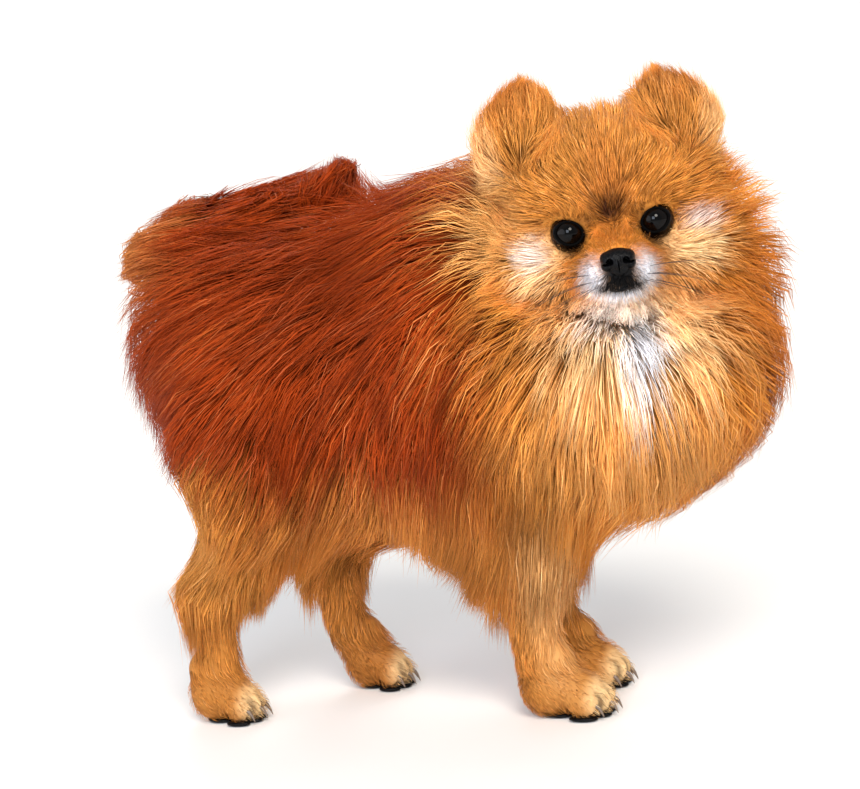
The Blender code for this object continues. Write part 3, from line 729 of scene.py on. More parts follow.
@dataclass
class BodyForm:
    """The dog under its coat, at any share of the coat's depth.

    The trunk's stations are x, z, half width and half height, of the skin and of the coat. The
    ruff's balls are centre and radii of each. The tail's are x, y, z, half width and half height.
    The limbs' are x, y, z, half width and half length, with their short coat. The hanging forms,
    of nape, flank folds and elbow fringes, are in the outline alone, and so is the crown's coat.
    The head's forms are centre, radii and how far the cheeks' fluff widens each. The muzzle's
    stations are forward, up, half width and half height, and the ears' are side, forward, up,
    half width and half depth. The paws are x, y, half width and half length.
    """

    trunk: tuple = (
        ((-118, 180, 14, 18), (-136, 206, 28, 32)),
        ((-104, 173, 30, 40), (-117, 194, 58, 56)),
        ((-70, 168, 36, 42), (-84, 167, 76, 86)),
        ((-20, 165, 38, 46), (-30, 164, 80, 93)),
        ((25, 160, 41, 52), (22, 166, 80, 92)),
        ((65, 158, 38, 50), (58, 164, 76, 86)),
        ((92, 152, 20, 30), (92, 156, 56, 60)),
    )
    ruff: tuple = (
        (((84, -8, 178), (42, 40, 46)), ((89, -9, 167), (93, 84, 85))),
        (((98, -8, 214), (34, 28, 34)), ((107, 2, 204), (79, 63, 76))),
        (((50, -1, 206), (42, 38, 40)), ((30, 0, 204), (70, 67, 60))),
    )
    tail: tuple = (
        ((-116, 0, 203, 9, 9), (-118, 0, 203, 20, 18)),
        ((-128, 1, 221, 8, 8), (-134, 1, 226, 31, 21)),
        ((-115, 5, 234, 7, 7), (-118, 5, 235, 36, 18)),
        ((-88, 9, 240, 6, 6), (-88, 9, 239, 38, 16)),
        ((-66, 12, 245, 5, 5), (-66, 12, 245, 30, 14)),
        ((-48, 14, 247, 4, 5), (-46, 14, 251, 15, 12)),
    )
    limbs: tuple = (
        ((56, -30, 122, 17, 20), (53, -28, 92, 17, 20), (51, -26, 70, 15, 17), (47, -24, 42, 13, 14),
         (48, -23, 24, 13, 13.5), (50, -23, 11, 13, 15)),
        ((54, 30, 122, 17, 20), (49, 29, 92, 16, 19), (46, 27, 70, 14, 15.5), (41, 26, 42, 12, 12.5),
         (43, 26, 24, 12, 12.5), (47, 26, 11, 13, 14)),
        ((-84, -36, 170, 24, 34), (-80, -42, 130, 24, 34), (-91, -37, 92, 17, 21), (-108, -32, 64, 13, 16),
         (-114.5, -30, 44, 12, 12), (-115, -30, 26, 11.5, 12), (-114, -30, 11, 12, 15)),
        ((-78, 36, 170, 24, 34), (-56, 42, 130, 24, 34), (-60, 36, 92, 17, 21), (-73, 29, 64, 13, 15),
         (-71, 27, 44, 12, 12), (-68, 27, 28, 12, 12.5), (-60, 27, 11, 12, 14)),
    )
    thighs: tuple = (((-81, -54, 138), (39, 35, 58)), ((-72, 54, 136), (39, 35, 58)))
    thigh_coat: float = 26.0
    hanging: tuple = (
        ((46, -8, 248), (27, 30, 35)),
        ((-79, -24, 86), (25, 18, 27)),
        ((-66, 24, 90), (24, 16, 24)),
        ((28, -28, 80), (22, 14, 32)),
        ((24, 28, 80), (20, 14, 29)),
    )
    paws: tuple = ((61, -23, 17, 27), (57, 26, 16, 25), (-112, -30, 15, 23), (-53, 27, 14, 21))
    ears: tuple = ((32.0, -36.0, 18.0, 20.0, 13.0), (33.0, -35.0, 32.0, 22.0, 12.5),
                   (33.0, -35.0, 43.0, 20.0, 10.0), (32.0, -36.0, 50.0, 16.0, 8.0),
                   (32.0, -37.0, 54.0, 11.0, 6.0))
    ear_rise: dict = field(default_factory=lambda: {Hand.RIGHT: 5.0, Hand.LEFT: 1.0})
    ear_fringe: float = 6.0
    ear_thickness: float = 6.0
    head: tuple = (
        ((0, -28, 13), (38, 33, 37), (1.0, 0.0, 0.6)),
        ((0, -36, 2), (42, 30, 36), (1.0, 0.0, 0.6)),
        ((0, -56, -8), (46, 36, 44), (0.0, 0.0, 0.0)),
        ((0, -26, -24), (30, 24, 18), (1.0, 0.0, 0.4)),
        ((0, 8, -27.5), (10, 12, 6), (0.0, 0.0, 0.0)),
        ((-15, -4, 10), (11, 8, 7), (0.0, 0.0, 0.0)),
        ((15, -4, 10), (11, 8, 7), (0.0, 0.0, 0.0)),
        ((-24, -26, -14), (21, 24, 22), (1.0, 0.0, 0.0)),
        ((24, -26, -14), (21, 24, 22), (1.0, 0.0, 0.0)),
    )
    crown: tuple = ((0, -30, 18), (42, 26, 42))
    muzzle: tuple = ((-12, -16, 25, 19), (0, -17.5, 20, 16), (10, -19.5, 17, 13.5), (18, -20.5, 14, 11.5),
                     (23, -20.5, 9, 8))
    muzzle_thickness: float = 6.0
    muzzle_end: tuple = ((0, 22.5, -20.5), (9.5, 6.0, 8.0))
    fluff: float = 10.0
    trunk_flat: float = 0.6
    limb_flat: float = 0.9
    tail_inset: float = 0.3
    trunk_spacing: float = 0.5
    tail_spacing: float = 0.6
    limb_spacing: float = 0.4
    outline_from: float = 0.9
    voxel: float = 2.1
    rounds: int = 6

    def chain(self, stations: list, spacing: float, inset: float) -> list[bpy.types.Object]:
        """Overlapping ellipsoids along stations of centre and three radii.

        Args:
            stations: Six numbers each.
            spacing: The share of the least radius that lies between two middles.
            inset: How much smaller each radius is made.

        Returns:
            The pieces.
        """
        pieces = []
        for k, (here, after) in enumerate(zip(stations, stations[1:])):
            span = math.dist(here[:3], after[:3])
            count = max(2, math.ceil(span / (spacing * min(*here[3:], *after[3:]))))
            for n in range(count + (k == len(stations) - 2)):
                numbers = between(here, after, n / count)
                pieces.append(ellipsoid(numbers[:3], [r - inset for r in numbers[3:]], detail=20))
        return pieces

    def trunk_pieces(self, depth: float, inset: float) -> list[bpy.types.Object]:
        """Trunk, ruff, tail, thighs and limbs at a share of the coat's depth."""
        stations = [between(skin, coat, depth) for skin, coat in self.trunk]
        pieces = self.chain(
            [(x, 0.0, z, min(w, h) * self.trunk_flat, w, h) for x, z, w, h in stations],
            self.trunk_spacing, inset,
        )
        for (skin_centre, skin_radii), (coat_centre, coat_radii) in self.ruff:
            radii = [r - inset for r in between(skin_radii, coat_radii, depth)]
            pieces.append(ellipsoid(between(skin_centre, coat_centre, depth), radii, detail=48))
        if depth > self.outline_from:
            pieces += [ellipsoid(*shape, detail=32) for shape in self.hanging]
        stations = [between(skin, coat, depth) for skin, coat in self.tail]
        stations = [(x, y, z, min(w, h), w, h) for x, y, z, w, h in stations]
        pieces += self.chain(stations, self.tail_spacing, inset * self.tail_inset)
        for centre, radii in self.thighs:
            shrink = self.thigh_coat * (1.0 - depth) + inset
            pieces.append(ellipsoid(centre, [r - shrink for r in radii], detail=40))
        for stations in self.limbs:
            stations = [(x, y, z, h, w, w * self.limb_flat) for x, y, z, w, h in stations]
            pieces += self.chain(stations, self.limb_spacing, inset)
        return pieces

    def paw_pieces(self, inset: float) -> list[bpy.types.Object]:
        """Heel, pad and four toes of each paw."""
        pieces = []
        for paw in self.paws:
            x, y, width, length = paw
            heel = ((x - length * 0.35, y, FLOOR + 15.0), (length * 0.62, width * 0.95, 17.0))
            pastern = ((x - length * 0.35, y, FLOOR + 26.0), (width * 0.95, width * 0.85, 14.0))
            pad = ((x + length * 0.1, y, FLOOR + 13.0), (length * 0.6, width * 0.9, 12.0))
            shapes = [heel, pastern, pad]
            for ahead, beside in toe_places(paw):
                shapes.append(((ahead, beside, FLOOR + 8.5), (length * 0.4, width * 0.33, 9.5)))
            pieces += [ellipsoid(c, [r - inset for r in radii], detail=20) for c, radii in shapes]
        return pieces

    def head_pieces(self, depth: float, inset: float) -> list[bpy.types.Object]:
        """Skull, cheeks, muzzle, chin, brows and ears at a share of the coat's depth."""
        full = self.fluff * depth
        shapes = [
            (centre, [r + full * share for r, share in zip(radii, shares)])
            for centre, radii, shares in self.head
        ]
        if depth > self.outline_from:
            shapes.append(self.crown)
        for here, after in zip(self.muzzle, self.muzzle[1:]):
            for n in range(3):
                forward, up, wide, high = between(here, after, n / 3.0)
                shapes.append(((0, forward, up), (wide, self.muzzle_thickness, high)))
        shapes.append(self.muzzle_end)
        pieces = [ellipsoid(c, [r - inset for r in radii], True, 32) for c, radii in shapes]
        for hand in Hand:
            grow = self.ear_fringe * max(0.0, depth - 0.5) * 2.0
            for here, after in zip(self.ears, self.ears[1:]):
                for n in range(4):
                    side, forward, up, wide, deep = between(here, after, n / 3.0)
                    centre = (hand.value * side, forward, up + self.ear_rise[hand] + grow * 0.6)
                    radii = (wide + grow - inset, deep + grow * 0.6 - inset, self.ear_thickness + grow * 0.7)
                    pieces.append(ellipsoid(centre, radii, True, 20))
        return pieces

    def build(self, name: str, depth: float, inset: float) -> bpy.types.Object:
        """One smooth closed form.

        Args:
            name: Its name.
            depth: The share of the long coat's depth.
            inset: How far the short coat's surface is moved in.

        Returns:
            The form as one object.
        """
        pieces = self.trunk_pieces(depth, inset) + self.paw_pieces(inset) + self.head_pieces(depth, inset)
        return melted(pieces, name, self.voxel, self.rounds)


# What the coat does at each place


@dataclass(frozen=True)
class Patch:
    """A marking, a few of them painted light and painted shade: an ellipsoid on the dog's frame or the
    head's, and the tone it gives.
    """

    tone: Tone
    strength: float
    centre: tuple
    radii: tuple
    on_head: bool = True
    soft: float = 0.55


@dataclass
class Markings:
    """The shares of each tone by place, the same for skin and coat.

    The places are soft spans, as the function within takes them. The saddle's edge gives x at a
    height, and its fade gives at an x the share that is lost low on the flank.
    """

    saddle_edge: tuple = ((60, 34), (110, 52), (150, 56), (200, 44), (240, 30))
    saddle_soft: tuple = (22.0, -24.0)
    saddle_fade: tuple = ((-92, 0.85), (-52, 0.58))
    saddle_low: tuple = (("z", 142.0, 88.0),)
    far_flank: tuple = (("x", 60.0, 110.0), ("y", -40.0, 30.0), ("z", 215.0, 150.0))
    low: tuple = (("z", 112.0, 60.0),)
    rump: tuple = (("x", -108.0, -140.0), ("z", 190.0, 236.0))
    trousers: tuple = (("x", -68.0, -98.0), ("z", 142.0, 112.0), ("z", 56.0, 76.0))
    # where the paws are darkened with painted shade
    soles: tuple = (("z", 32.0, 14.0),)
    head_centre: tuple = (0, -26, 6)
    head_radii: tuple = (60, 57, 60)
    groove_places: tuple = (-0.44, 0.0, 0.44)
    far_flank_red: float = 0.65
    low_gold: float = 0.5
    rump_gold: float = 0.25
    trousers_gold: float = 0.6
    rump_fade: float = 0.28
    trousers_fade: float = 0.65
    toe_cream: float = 0.75
    rump_cream: float = 0.05
    # painted shade: how dark the grooves between the toes are made
    groove_dark: float = 0.75
    # painted shade: how dark the low part of each paw is made
    sole_dark: float = 0.16
    patches: tuple = (
        Patch(Tone.CREAM, 0.75, (127, -80, 180), (42, 44, 30), False),
        Patch(Tone.CREAM, 0.1, (126, -80, 142), (44, 42, 36), False),
        Patch(Tone.WHITE, 0.95, (128, -82, 177), (11, 25, 24), False),
        Patch(Tone.WHITE, 0.6, (114, -84, 196), (16, 20, 11), False),
        Patch(Tone.GOLD, 0.5, (110, -70, 120), (60, 50, 50), False),
        Patch(Tone.GOLD, 0.9, (50, -48, 236), (22, 36, 28), False),
        # Painted light: the low flank and belly lightened towards gold, to make up for the shade under the
        # body.
        Patch(Tone.GOLD, 0.4, (0, -60, 94), (84, 50, 26), False),
        Patch(Tone.CREAM, 0.1, (50, -50, 238), (20, 34, 24), False),
        Patch(Tone.GOLD, 0.5, (0, -30, 42), (60, 44, 40)),
        Patch(Tone.RED, 0.45, (172, -4, 186), (18, 32, 40), False),
        # Painted shade: darker low on the near side of the ruff, by the front leg.
        Patch(Tone.DARK, 0.35, (58, -62, 106), (14, 26, 16), False),
        Patch(Tone.CREAM, 0.3, (62, -36, 62), (16, 22, 46), False),
        Patch(Tone.WHITE, 0.65, (-38, -18, -9), (8, 20, 9)),
        Patch(Tone.CREAM, 0.75, (-36, -16, -15), (13, 24, 16)),
        Patch(Tone.WHITE, 0.6, (41, -18, -2), (9, 20, 6)),
        Patch(Tone.CREAM, 0.8, (36, -14, -15), (16, 24, 12)),
        Patch(Tone.WHITE, 1.0, (-11, 13, -22), (8, 13, 9)),
        Patch(Tone.WHITE, 1.0, (11, 13, -21.5), (8, 13, 9)),
        Patch(Tone.WHITE, 0.9, (0, 12, -31), (12, 12, 4)),
        Patch(Tone.CREAM, 0.25, (0, 0, -40), (26, 24, 12)),
        Patch(Tone.RED, 0.35, (0, 4, -5), (7, 14, 5)),
        Patch(Tone.DARK, 0.85, (0, -2, 9), (9, 12, 7)),
        Patch(Tone.DARK, 0.4, (-11, 2, 5), (6, 8, 3)),
        Patch(Tone.DARK, 0.4, (11, 2, 5), (6, 8, 3)),
        Patch(Tone.RED, 0.55, (0, -6, 22), (13, 20, 24)),
        Patch(Tone.BLACK, 1.0, (0, 24, -22.5), (9, 12, 7), True, 0.35),
        Patch(Tone.BLACK, 1.0, (0, 20, -27.0), (13, 9, 3.4), True, 0.35),
        Patch(Tone.BLACK, 1.0, (-EYE_SIDE, EYE_DEPTH + 4, -1.0), (7.8, 9, 6.8), True, 0.2),
        Patch(Tone.BLACK, 1.0, (EYE_SIDE, EYE_DEPTH + 4, -1.0), (7.8, 9, 6.8), True, 0.2),
        Patch(Tone.BLACK, 0.85, (-18, -2, -7.5), (6, 8, 3.4)),
        Patch(Tone.BLACK, 0.85, (19, -2, -7.5), (6, 8, 3.4)),
        Patch(Tone.CREAM, 0.45, (-54, -34, 38), (8, 20, 15)),
        Patch(Tone.CREAM, 0.45, (55, -34, 40), (7, 20, 15)),
        Patch(Tone.RED, 0.5, (-38, -36, 62), (20, 20, 12)),
        Patch(Tone.RED, 0.5, (34, -36, 58), (14, 20, 14)),
    )

    def shares(self, points: np.ndarray) -> np.ndarray:
        """The six shares at each place.

        Args:
            points: Places on the drafting frame.

        Returns:
            One row each, in the order of the tones.
        """
        x, _, z = points.T
        table = dict.fromkeys(Tone, np.zeros(len(points)))
        head = ramp(1.15, 0.95, reach(points, self.head_centre, self.head_radii, True))
        edge = np.interp(z, *zip(*self.saddle_edge))
        fade = np.interp(x, *zip(*self.saddle_fade)) * within(points, self.saddle_low)
        ahead, behind = self.saddle_soft
        saddle = ramp(edge + ahead, edge + behind, x) * (1.0 - fade)
        flank = self.far_flank_red * within(points, self.far_flank)
        rump = within(points, self.rump)
        trousers = within(points, self.trousers)
        faded = (1.0 - self.rump_fade * rump) * (1.0 - self.trousers_fade * trousers)
        # The toes are paler; the grooves between them carry painted shade.
        toes, grooves = self.on_toes(points)
        table[Tone.RED] = np.maximum(saddle, flank) * (1.0 - head) * faded
        pale = np.maximum(self.rump_gold * rump, self.trousers_gold * trousers)
        table[Tone.GOLD] = np.maximum(self.low_gold * within(points, self.low), pale)
        table[Tone.CREAM] = np.maximum(self.toe_cream * toes, self.rump_cream * rump)
        # Painted shade: the lowest part of each paw is darkened.
        soles = within(points, self.soles)
        table[Tone.DARK] = np.maximum(self.groove_dark * grooves, self.sole_dark * soles)
        for patch in self.patches:
            near = reach(points, patch.centre, patch.radii, patch.on_head)
            weight = patch.strength * ramp(1.0 + patch.soft, 1.0 - patch.soft, near)
            table[patch.tone] = np.maximum(table[patch.tone], weight)
        return np.stack([table[tone] for tone in Tone], axis=1)

    def on_toes(self, points: np.ndarray) -> tuple[np.ndarray, np.ndarray]:
        """How much each point is on a toe, and how much in a groove between two, where shade is painted."""
        toes = np.zeros(len(points))
        grooves = np.zeros(len(points))
        for x, y, width, length in BodyForm.paws:
            near = reach(points, (x + length * 0.7, y, FLOOR + 9.0), (length * 0.5, width * 1.3, 14.0))
            toes = np.maximum(toes, ramp(1.2, 0.5, near))
            for gap in self.groove_places:
                middle = (x + length * 0.72, y + width * gap, FLOOR + 7.0)
                near = reach(points, middle, (length * 0.42, 1.5, 8.0))
                grooves = np.maximum(grooves, ramp(1.4, 0.6, near))
        return toes, grooves


@dataclass
class Lie:
    """Which way the coat lies, how long it is and how far it may hang, by place.

    The places are soft spans, as the function within takes them, and the balls are centre and
    radii. The rear and front lines give x at a height, and the under line gives the height at an
    x. The ways point from root to tip. The slopes are in degrees at the shoulder, and how far
    they fall to the rump.
    """

    ruff_length: float = 64.0
    body_length: float = 62.0
    thigh_length: float = 46.0
    tail_length: float = 44.0
    leg_length: float = 13.0
    paw_length: float = 4.6
    ear_length: float = 20.0
    feather_length: float = 58.0
    hock_length: float = 38.0
    fold_length: float = 36.0
    elbow_extra: float = 8.0
    muzzle_length: float = 3.4
    face_growth: float = 0.22
    face_longest: float = 34.0
    nose_edge: float = 6.0
    chin_extra: float = 7.0
    eye_trim: float = 0.45

    neck_place: tuple = (("x", 14.0, 36.0),)
    thigh_place: tuple = (("out", 30.0, 42.0),)
    front_legs: tuple = (("z", 98.0, 82.0), ("out", 5.0, 9.0), ("x", -6.0, 8.0))
    lower_legs: tuple = (("z", 80.0, 66.0),)
    paw_place: tuple = (("z", 30.0, 18.0),)
    feather_place: tuple = (("x", 50.0, 38.0), ("x", 0.0, 12.0), ("z", 52.0, 72.0), ("z", 128.0, 112.0))
    feather_growth: tuple = (("z", 54.0, 104.0),)
    hock_place: tuple = (("z", 58.0, 66.0), ("z", 112.0, 94.0))
    hock_right: float = -106.0
    hock_left: float = -58.0
    elbow_place: tuple = (("x", -20.0, 0.0), ("x", 52.0, 40.0), ("z", 128.0, 110.0), ("out", 8.0, 20.0))
    fold_place: tuple = (("x", -102.0, -88.0), ("x", -46.0, -60.0), ("z", 122.0, 106.0), ("out", 52.0, 44.0))
    fringe_place: tuple = (("z", 120.0, 100.0), ("z", 70.0, 84.0))
    breeches_place: tuple = (("x", -92.0, -112.0), ("z", 116.0, 128.0), ("z", 186.0, 166.0))
    tail_tip: tuple = (("x", -66.0, -44.0),)
    tail_radii: tuple = (16, 16, 14)
    skull_ball: tuple = ((0, -26, 4), (56, 48, 54))
    muzzle_ball: tuple = ((0, 4, -20), (30, 34, 25))
    ear_ball: tuple = ((0, -36, 42), (44, 22, 34))

    shoulder: float = 50.0
    trunk_run: float = 170.0
    belly: float = 110.0
    trunk_rise: float = 130.0
    belly_slope: tuple = (86.0, 30.0)
    back_slope: tuple = (40.0, 32.0)
    parting: float = 0.35
    ruff_centre: tuple = (0, 10, 0)
    ruff_fall: float = 0.35
    ruff_back: float = 0.25
    thigh_way: tuple = (-0.62, 0.0, -0.78)
    fringe_way: tuple = (-0.1, 0.0, -1.0)
    hock_way: tuple = (-0.84, 0.0, -0.54)
    paw_way: tuple = (0.75, 0.0, -0.65)
    leg_lean: float = 0.12
    feather_lean: float = 0.5
    face_centre: tuple = (0, 26, -8)
    face_back: float = 0.2
    ear_centre: tuple = (35.0, -36.0, 34.0)
    ear_rise: float = 0.6
    tail_fan: float = 0.6

    free_anywhere: float = 3.0
    free_fringe: float = 12.0
    free_feather: float = 36.0
    free_hock: float = 26.0
    free_elbow: float = 36.0
    free_fold: float = 8.0
    free_breeches: float = 9.0
    rear: tuple = (
        (0, -133), (10, -137), (20, -129), (46, -125), (54, -126), (57, -139), (61, -147), (65, -143),
        (70, -133), (78, -122), (88, -110), (104, -109), (116, -115), (124, -126), (132, -138),
        (142, -144), (156, -148), (206, -148), (236, -144), (252, -130),
    )
    front: tuple = (
        (70, 96), (88, 112), (104, 138), (125, 160), (145, 178), (162, 183), (185, 182), (211, 179),
        (240, 172), (262, 158),
    )
    under: tuple = (
        (-60, 60), (-46, 66), (-30, 78), (-12, 82), (1, 75), (12, 62), (33, 41), (70, 60), (82, 84),
        (107, 88), (135, 102),
    )
    taper: float = 0.36
    taper_from: float = 30.0
    far_shift: float = 4.0
    past_profile: float = 0.2
    past_under: float = 0.3
    elbow_middle: float = 16.0
    elbow_half: float = 17.0

    def weights(self, points: np.ndarray) -> dict[Region, np.ndarray]:
        """How much each point belongs to each region.

        Args:
            points: Places on the drafting frame.

        Returns:
            A share from 0 to 1 for each region.
        """
        neck = least_reach(points, [coat for _, coat in BodyForm.ruff])
        tail = least_reach(points, [(bone[:3], self.tail_radii) for bone, _ in BodyForm.tail[1:]])
        thigh = least_reach(points, BodyForm.thighs)
        face = to_face(points)
        ears = ramp(24.0, 34.0, face[:, 2]) * ramp(14.0, 22.0, np.abs(face[:, 0]))
        return {
            Region.NECK: ramp(1.12, 0.92, neck) * within(points, self.neck_place),
            Region.TAIL: ramp(1.5, 1.1, tail),
            Region.THIGH: ramp(1.05, 0.85, thigh) * within(points, self.thigh_place),
            Region.LEG: np.maximum(within(points, self.front_legs), within(points, self.lower_legs)),
            Region.PAW: within(points, self.paw_place),
            Region.HEAD: np.maximum(
                ramp(1.12, 0.96, reach(points, *self.skull_ball, True)),
                ramp(1.2, 1.0, reach(points, *self.muzzle_ball, True)),
            ),
            Region.EAR: ears * ramp(1.7, 1.35, reach(points, *self.ear_ball, True)),
        }

    def direction(self, points: np.ndarray) -> np.ndarray:
        """Which way the coat lies at each place, not yet laid on the surface."""
        share = self.weights(points)
        muzzle = np.array(on_face(*self.ruff_centre))
        ruff = unit(points - muzzle) + DOWN * self.ruff_fall - FORWARD * self.ruff_back
        way = mix(self.along_trunk(points), unit(ruff), share[Region.NECK])
        way = mix(way, np.array(self.thigh_way), share[Region.THIGH])
        way = mix(way, self.along_tail(points), share[Region.TAIL])
        loose = np.maximum(self.elbow(points), 0.8 * self.fold(points))
        way = mix(way, np.array(self.fringe_way), loose)
        lean = self.leg_lean + self.feather_lean * self.feathered(points)
        leg = np.stack([-lean, np.zeros(len(points)), -np.ones(len(points))], axis=1)
        way = mix(way, unit(leg), share[Region.LEG])
        way = mix(way, np.array(self.hock_way), 0.9 * self.hock(points))
        way = mix(way, np.array(self.paw_way), share[Region.PAW])
        nose = np.array(on_face(*self.face_centre))
        way = mix(way, unit(unit(points - nose) - FORWARD * self.face_back), share[Region.HEAD])
        side, forward, up = self.ear_centre
        for hand in Hand:
            middle = np.array(on_face(hand.value * side, forward, up))
            own_side = ramp(0.0, 4.0, to_face(points)[:, 0] * hand.value)
            fan = unit(CROWN * self.ear_rise + unit(points - middle))
            way = mix(way, fan, share[Region.EAR] * own_side)
            eye = np.array(on_face(hand.value * EYE_SIDE, EYE_DEPTH + 4.0, 0.0))
            close = np.linalg.norm(points - eye, axis=1)
            way = mix(way, unit(points - eye), 0.85 * ramp(17.0, 10.0, close))
        return unit(way)

    def along_trunk(self, points: np.ndarray) -> np.ndarray:
        """Back and down the flank, flatter towards the back and the rump."""
        x, y, z = points.T
        run = np.clip((self.shoulder - x) / self.trunk_run, 0.0, 1.0)
        rise = np.clip((z - self.belly) / self.trunk_rise, 0.0, 1.0)
        low, low_fall = self.belly_slope
        high, high_fall = self.back_slope
        slope = np.radians((low - low_fall * run) * (1.0 - rise) + (high - high_fall * run) * rise)
        return np.stack([-np.cos(slope), np.sign(y) * self.parting * rise, -np.sin(slope)], axis=1)

    def along_tail(self, points: np.ndarray) -> np.ndarray:
        """Along the tail from root to tip, fanned out from its bone."""
        bones = np.array([bone[:3] for bone, _ in BodyForm.tail], float)
        nearest = np.argmin(np.linalg.norm(points[:, None] - bones[None, :-1], axis=2), axis=1)
        along = unit(bones[nearest + 1] - bones[nearest])
        fan = unit(along + unit(points - bones[nearest]) * self.tail_fan)
        return unit(fan - DOWN * within(points, self.tail_tip)[:, None])

    def length(self, points: np.ndarray) -> np.ndarray:
        """How long the coat is at each place."""
        share = self.weights(points)
        long = np.full(len(points), self.body_length)
        long += (self.ruff_length - long) * share[Region.NECK]
        long += (self.thigh_length - long) * share[Region.THIGH]
        long += self.elbow_extra * self.elbow(points)
        long += (self.fold_length - long) * self.fold(points)
        long += (self.tail_length - long) * share[Region.TAIL]
        feather = self.feathered(points) * within(points, self.feather_growth)
        feather = self.leg_length + (self.feather_length - self.leg_length) * feather
        feather += (self.hock_length - feather) * self.hock(points)
        long += (feather - long) * share[Region.LEG]
        long += (self.paw_length - long) * share[Region.PAW]
        long += (self.face_length(points) - long) * share[Region.HEAD]
        long += (self.ear_length - long) * share[Region.EAR]
        return long

    def face_length(self, points: np.ndarray) -> np.ndarray:
        """How long the face's coat is: from the muzzle's plush to the cheeks, shorter by the eyes."""
        face = to_face(points)
        away = np.linalg.norm(face - NOSE, axis=1)
        short = self.muzzle_length + self.face_growth * (away - self.nose_edge)
        short = np.clip(short, self.muzzle_length, self.face_longest)
        for hand in Hand:
            close = np.linalg.norm(face - np.array((hand.value * EYE_SIDE, EYE_DEPTH, 0.0)), axis=1)
            short *= 1.0 - self.eye_trim * ramp(18.0, 10.0, close)
        short += self.chin_extra * ramp(-30.0, -38.0, face[:, 2]) * ramp(34.0, 20.0, np.abs(face[:, 0]))
        return short

    def feathered(self, points: np.ndarray) -> np.ndarray:
        """How much each point is on the feathered back of a front leg."""
        return within(points, self.feather_place)

    def hock(self, points: np.ndarray) -> np.ndarray:
        """How much each point is on the back of a thigh or hock, where the trousers end."""
        hind = np.where(points[:, 1] < 0.0, self.hock_right, self.hock_left)
        return ramp(hind + 14.0, hind - 2.0, points[:, 0]) * within(points, self.hock_place)

    def elbow(self, points: np.ndarray) -> np.ndarray:
        """How much each point is on the low flank behind an elbow, where the fringe hangs."""
        return within(points, self.elbow_place)

    def fold(self, points: np.ndarray) -> np.ndarray:
        """How much each point is on the fold between belly and thigh, where the coat hangs."""
        return within(points, self.fold_place)

    def hanging(self, points: np.ndarray) -> np.ndarray:
        """How freely the coat hangs from each point, instead of lying on the body."""
        loose = np.maximum(self.elbow(points), self.fold(points))
        return np.maximum(loose, np.maximum(self.feathered(points), 0.6 * self.hock(points)))

    def free(self, points: np.ndarray) -> np.ndarray:
        """How far a tuft may hang clear of the coat's own outline."""
        hang = self.free_anywhere + self.free_fringe * within(points, self.fringe_place)
        hang += self.free_feather * self.feathered(points) + self.free_hock * self.hock(points)
        hang += self.free_elbow * self.elbow(points) + self.free_fold * self.fold(points)
        return hang + self.free_breeches * within(points, self.breeches_place)

    def profile(self, points: np.ndarray) -> np.ndarray:
        """Points drawn in to the dog's own profile, behind, in front and under the belly."""
        x, y, z = points.T
        rear = np.interp(z, *zip(*self.rear)) + self.taper * np.maximum(np.abs(y) - self.taper_from, 0.0)
        rear = rear + np.where(y > 8.0, self.far_shift, 0.0)
        front = np.interp(z, *zip(*self.front))
        under = np.interp(x, *zip(*self.under))
        inside = points.copy()
        inside[:, 0] = np.where(x < rear, rear + self.past_profile * (x - rear), x)
        inside[:, 0] = np.where(x > front, front + self.past_profile * (x - front), inside[:, 0])
        trunk = (z > 40.0) & (z < under) & (np.abs(x - self.elbow_middle) < self.elbow_half)
        trunk |= (z > 66.0) & (z < under)
        inside[:, 2] = np.where(trunk, under + self.past_under * (z - under), z)
        return inside


# The coat


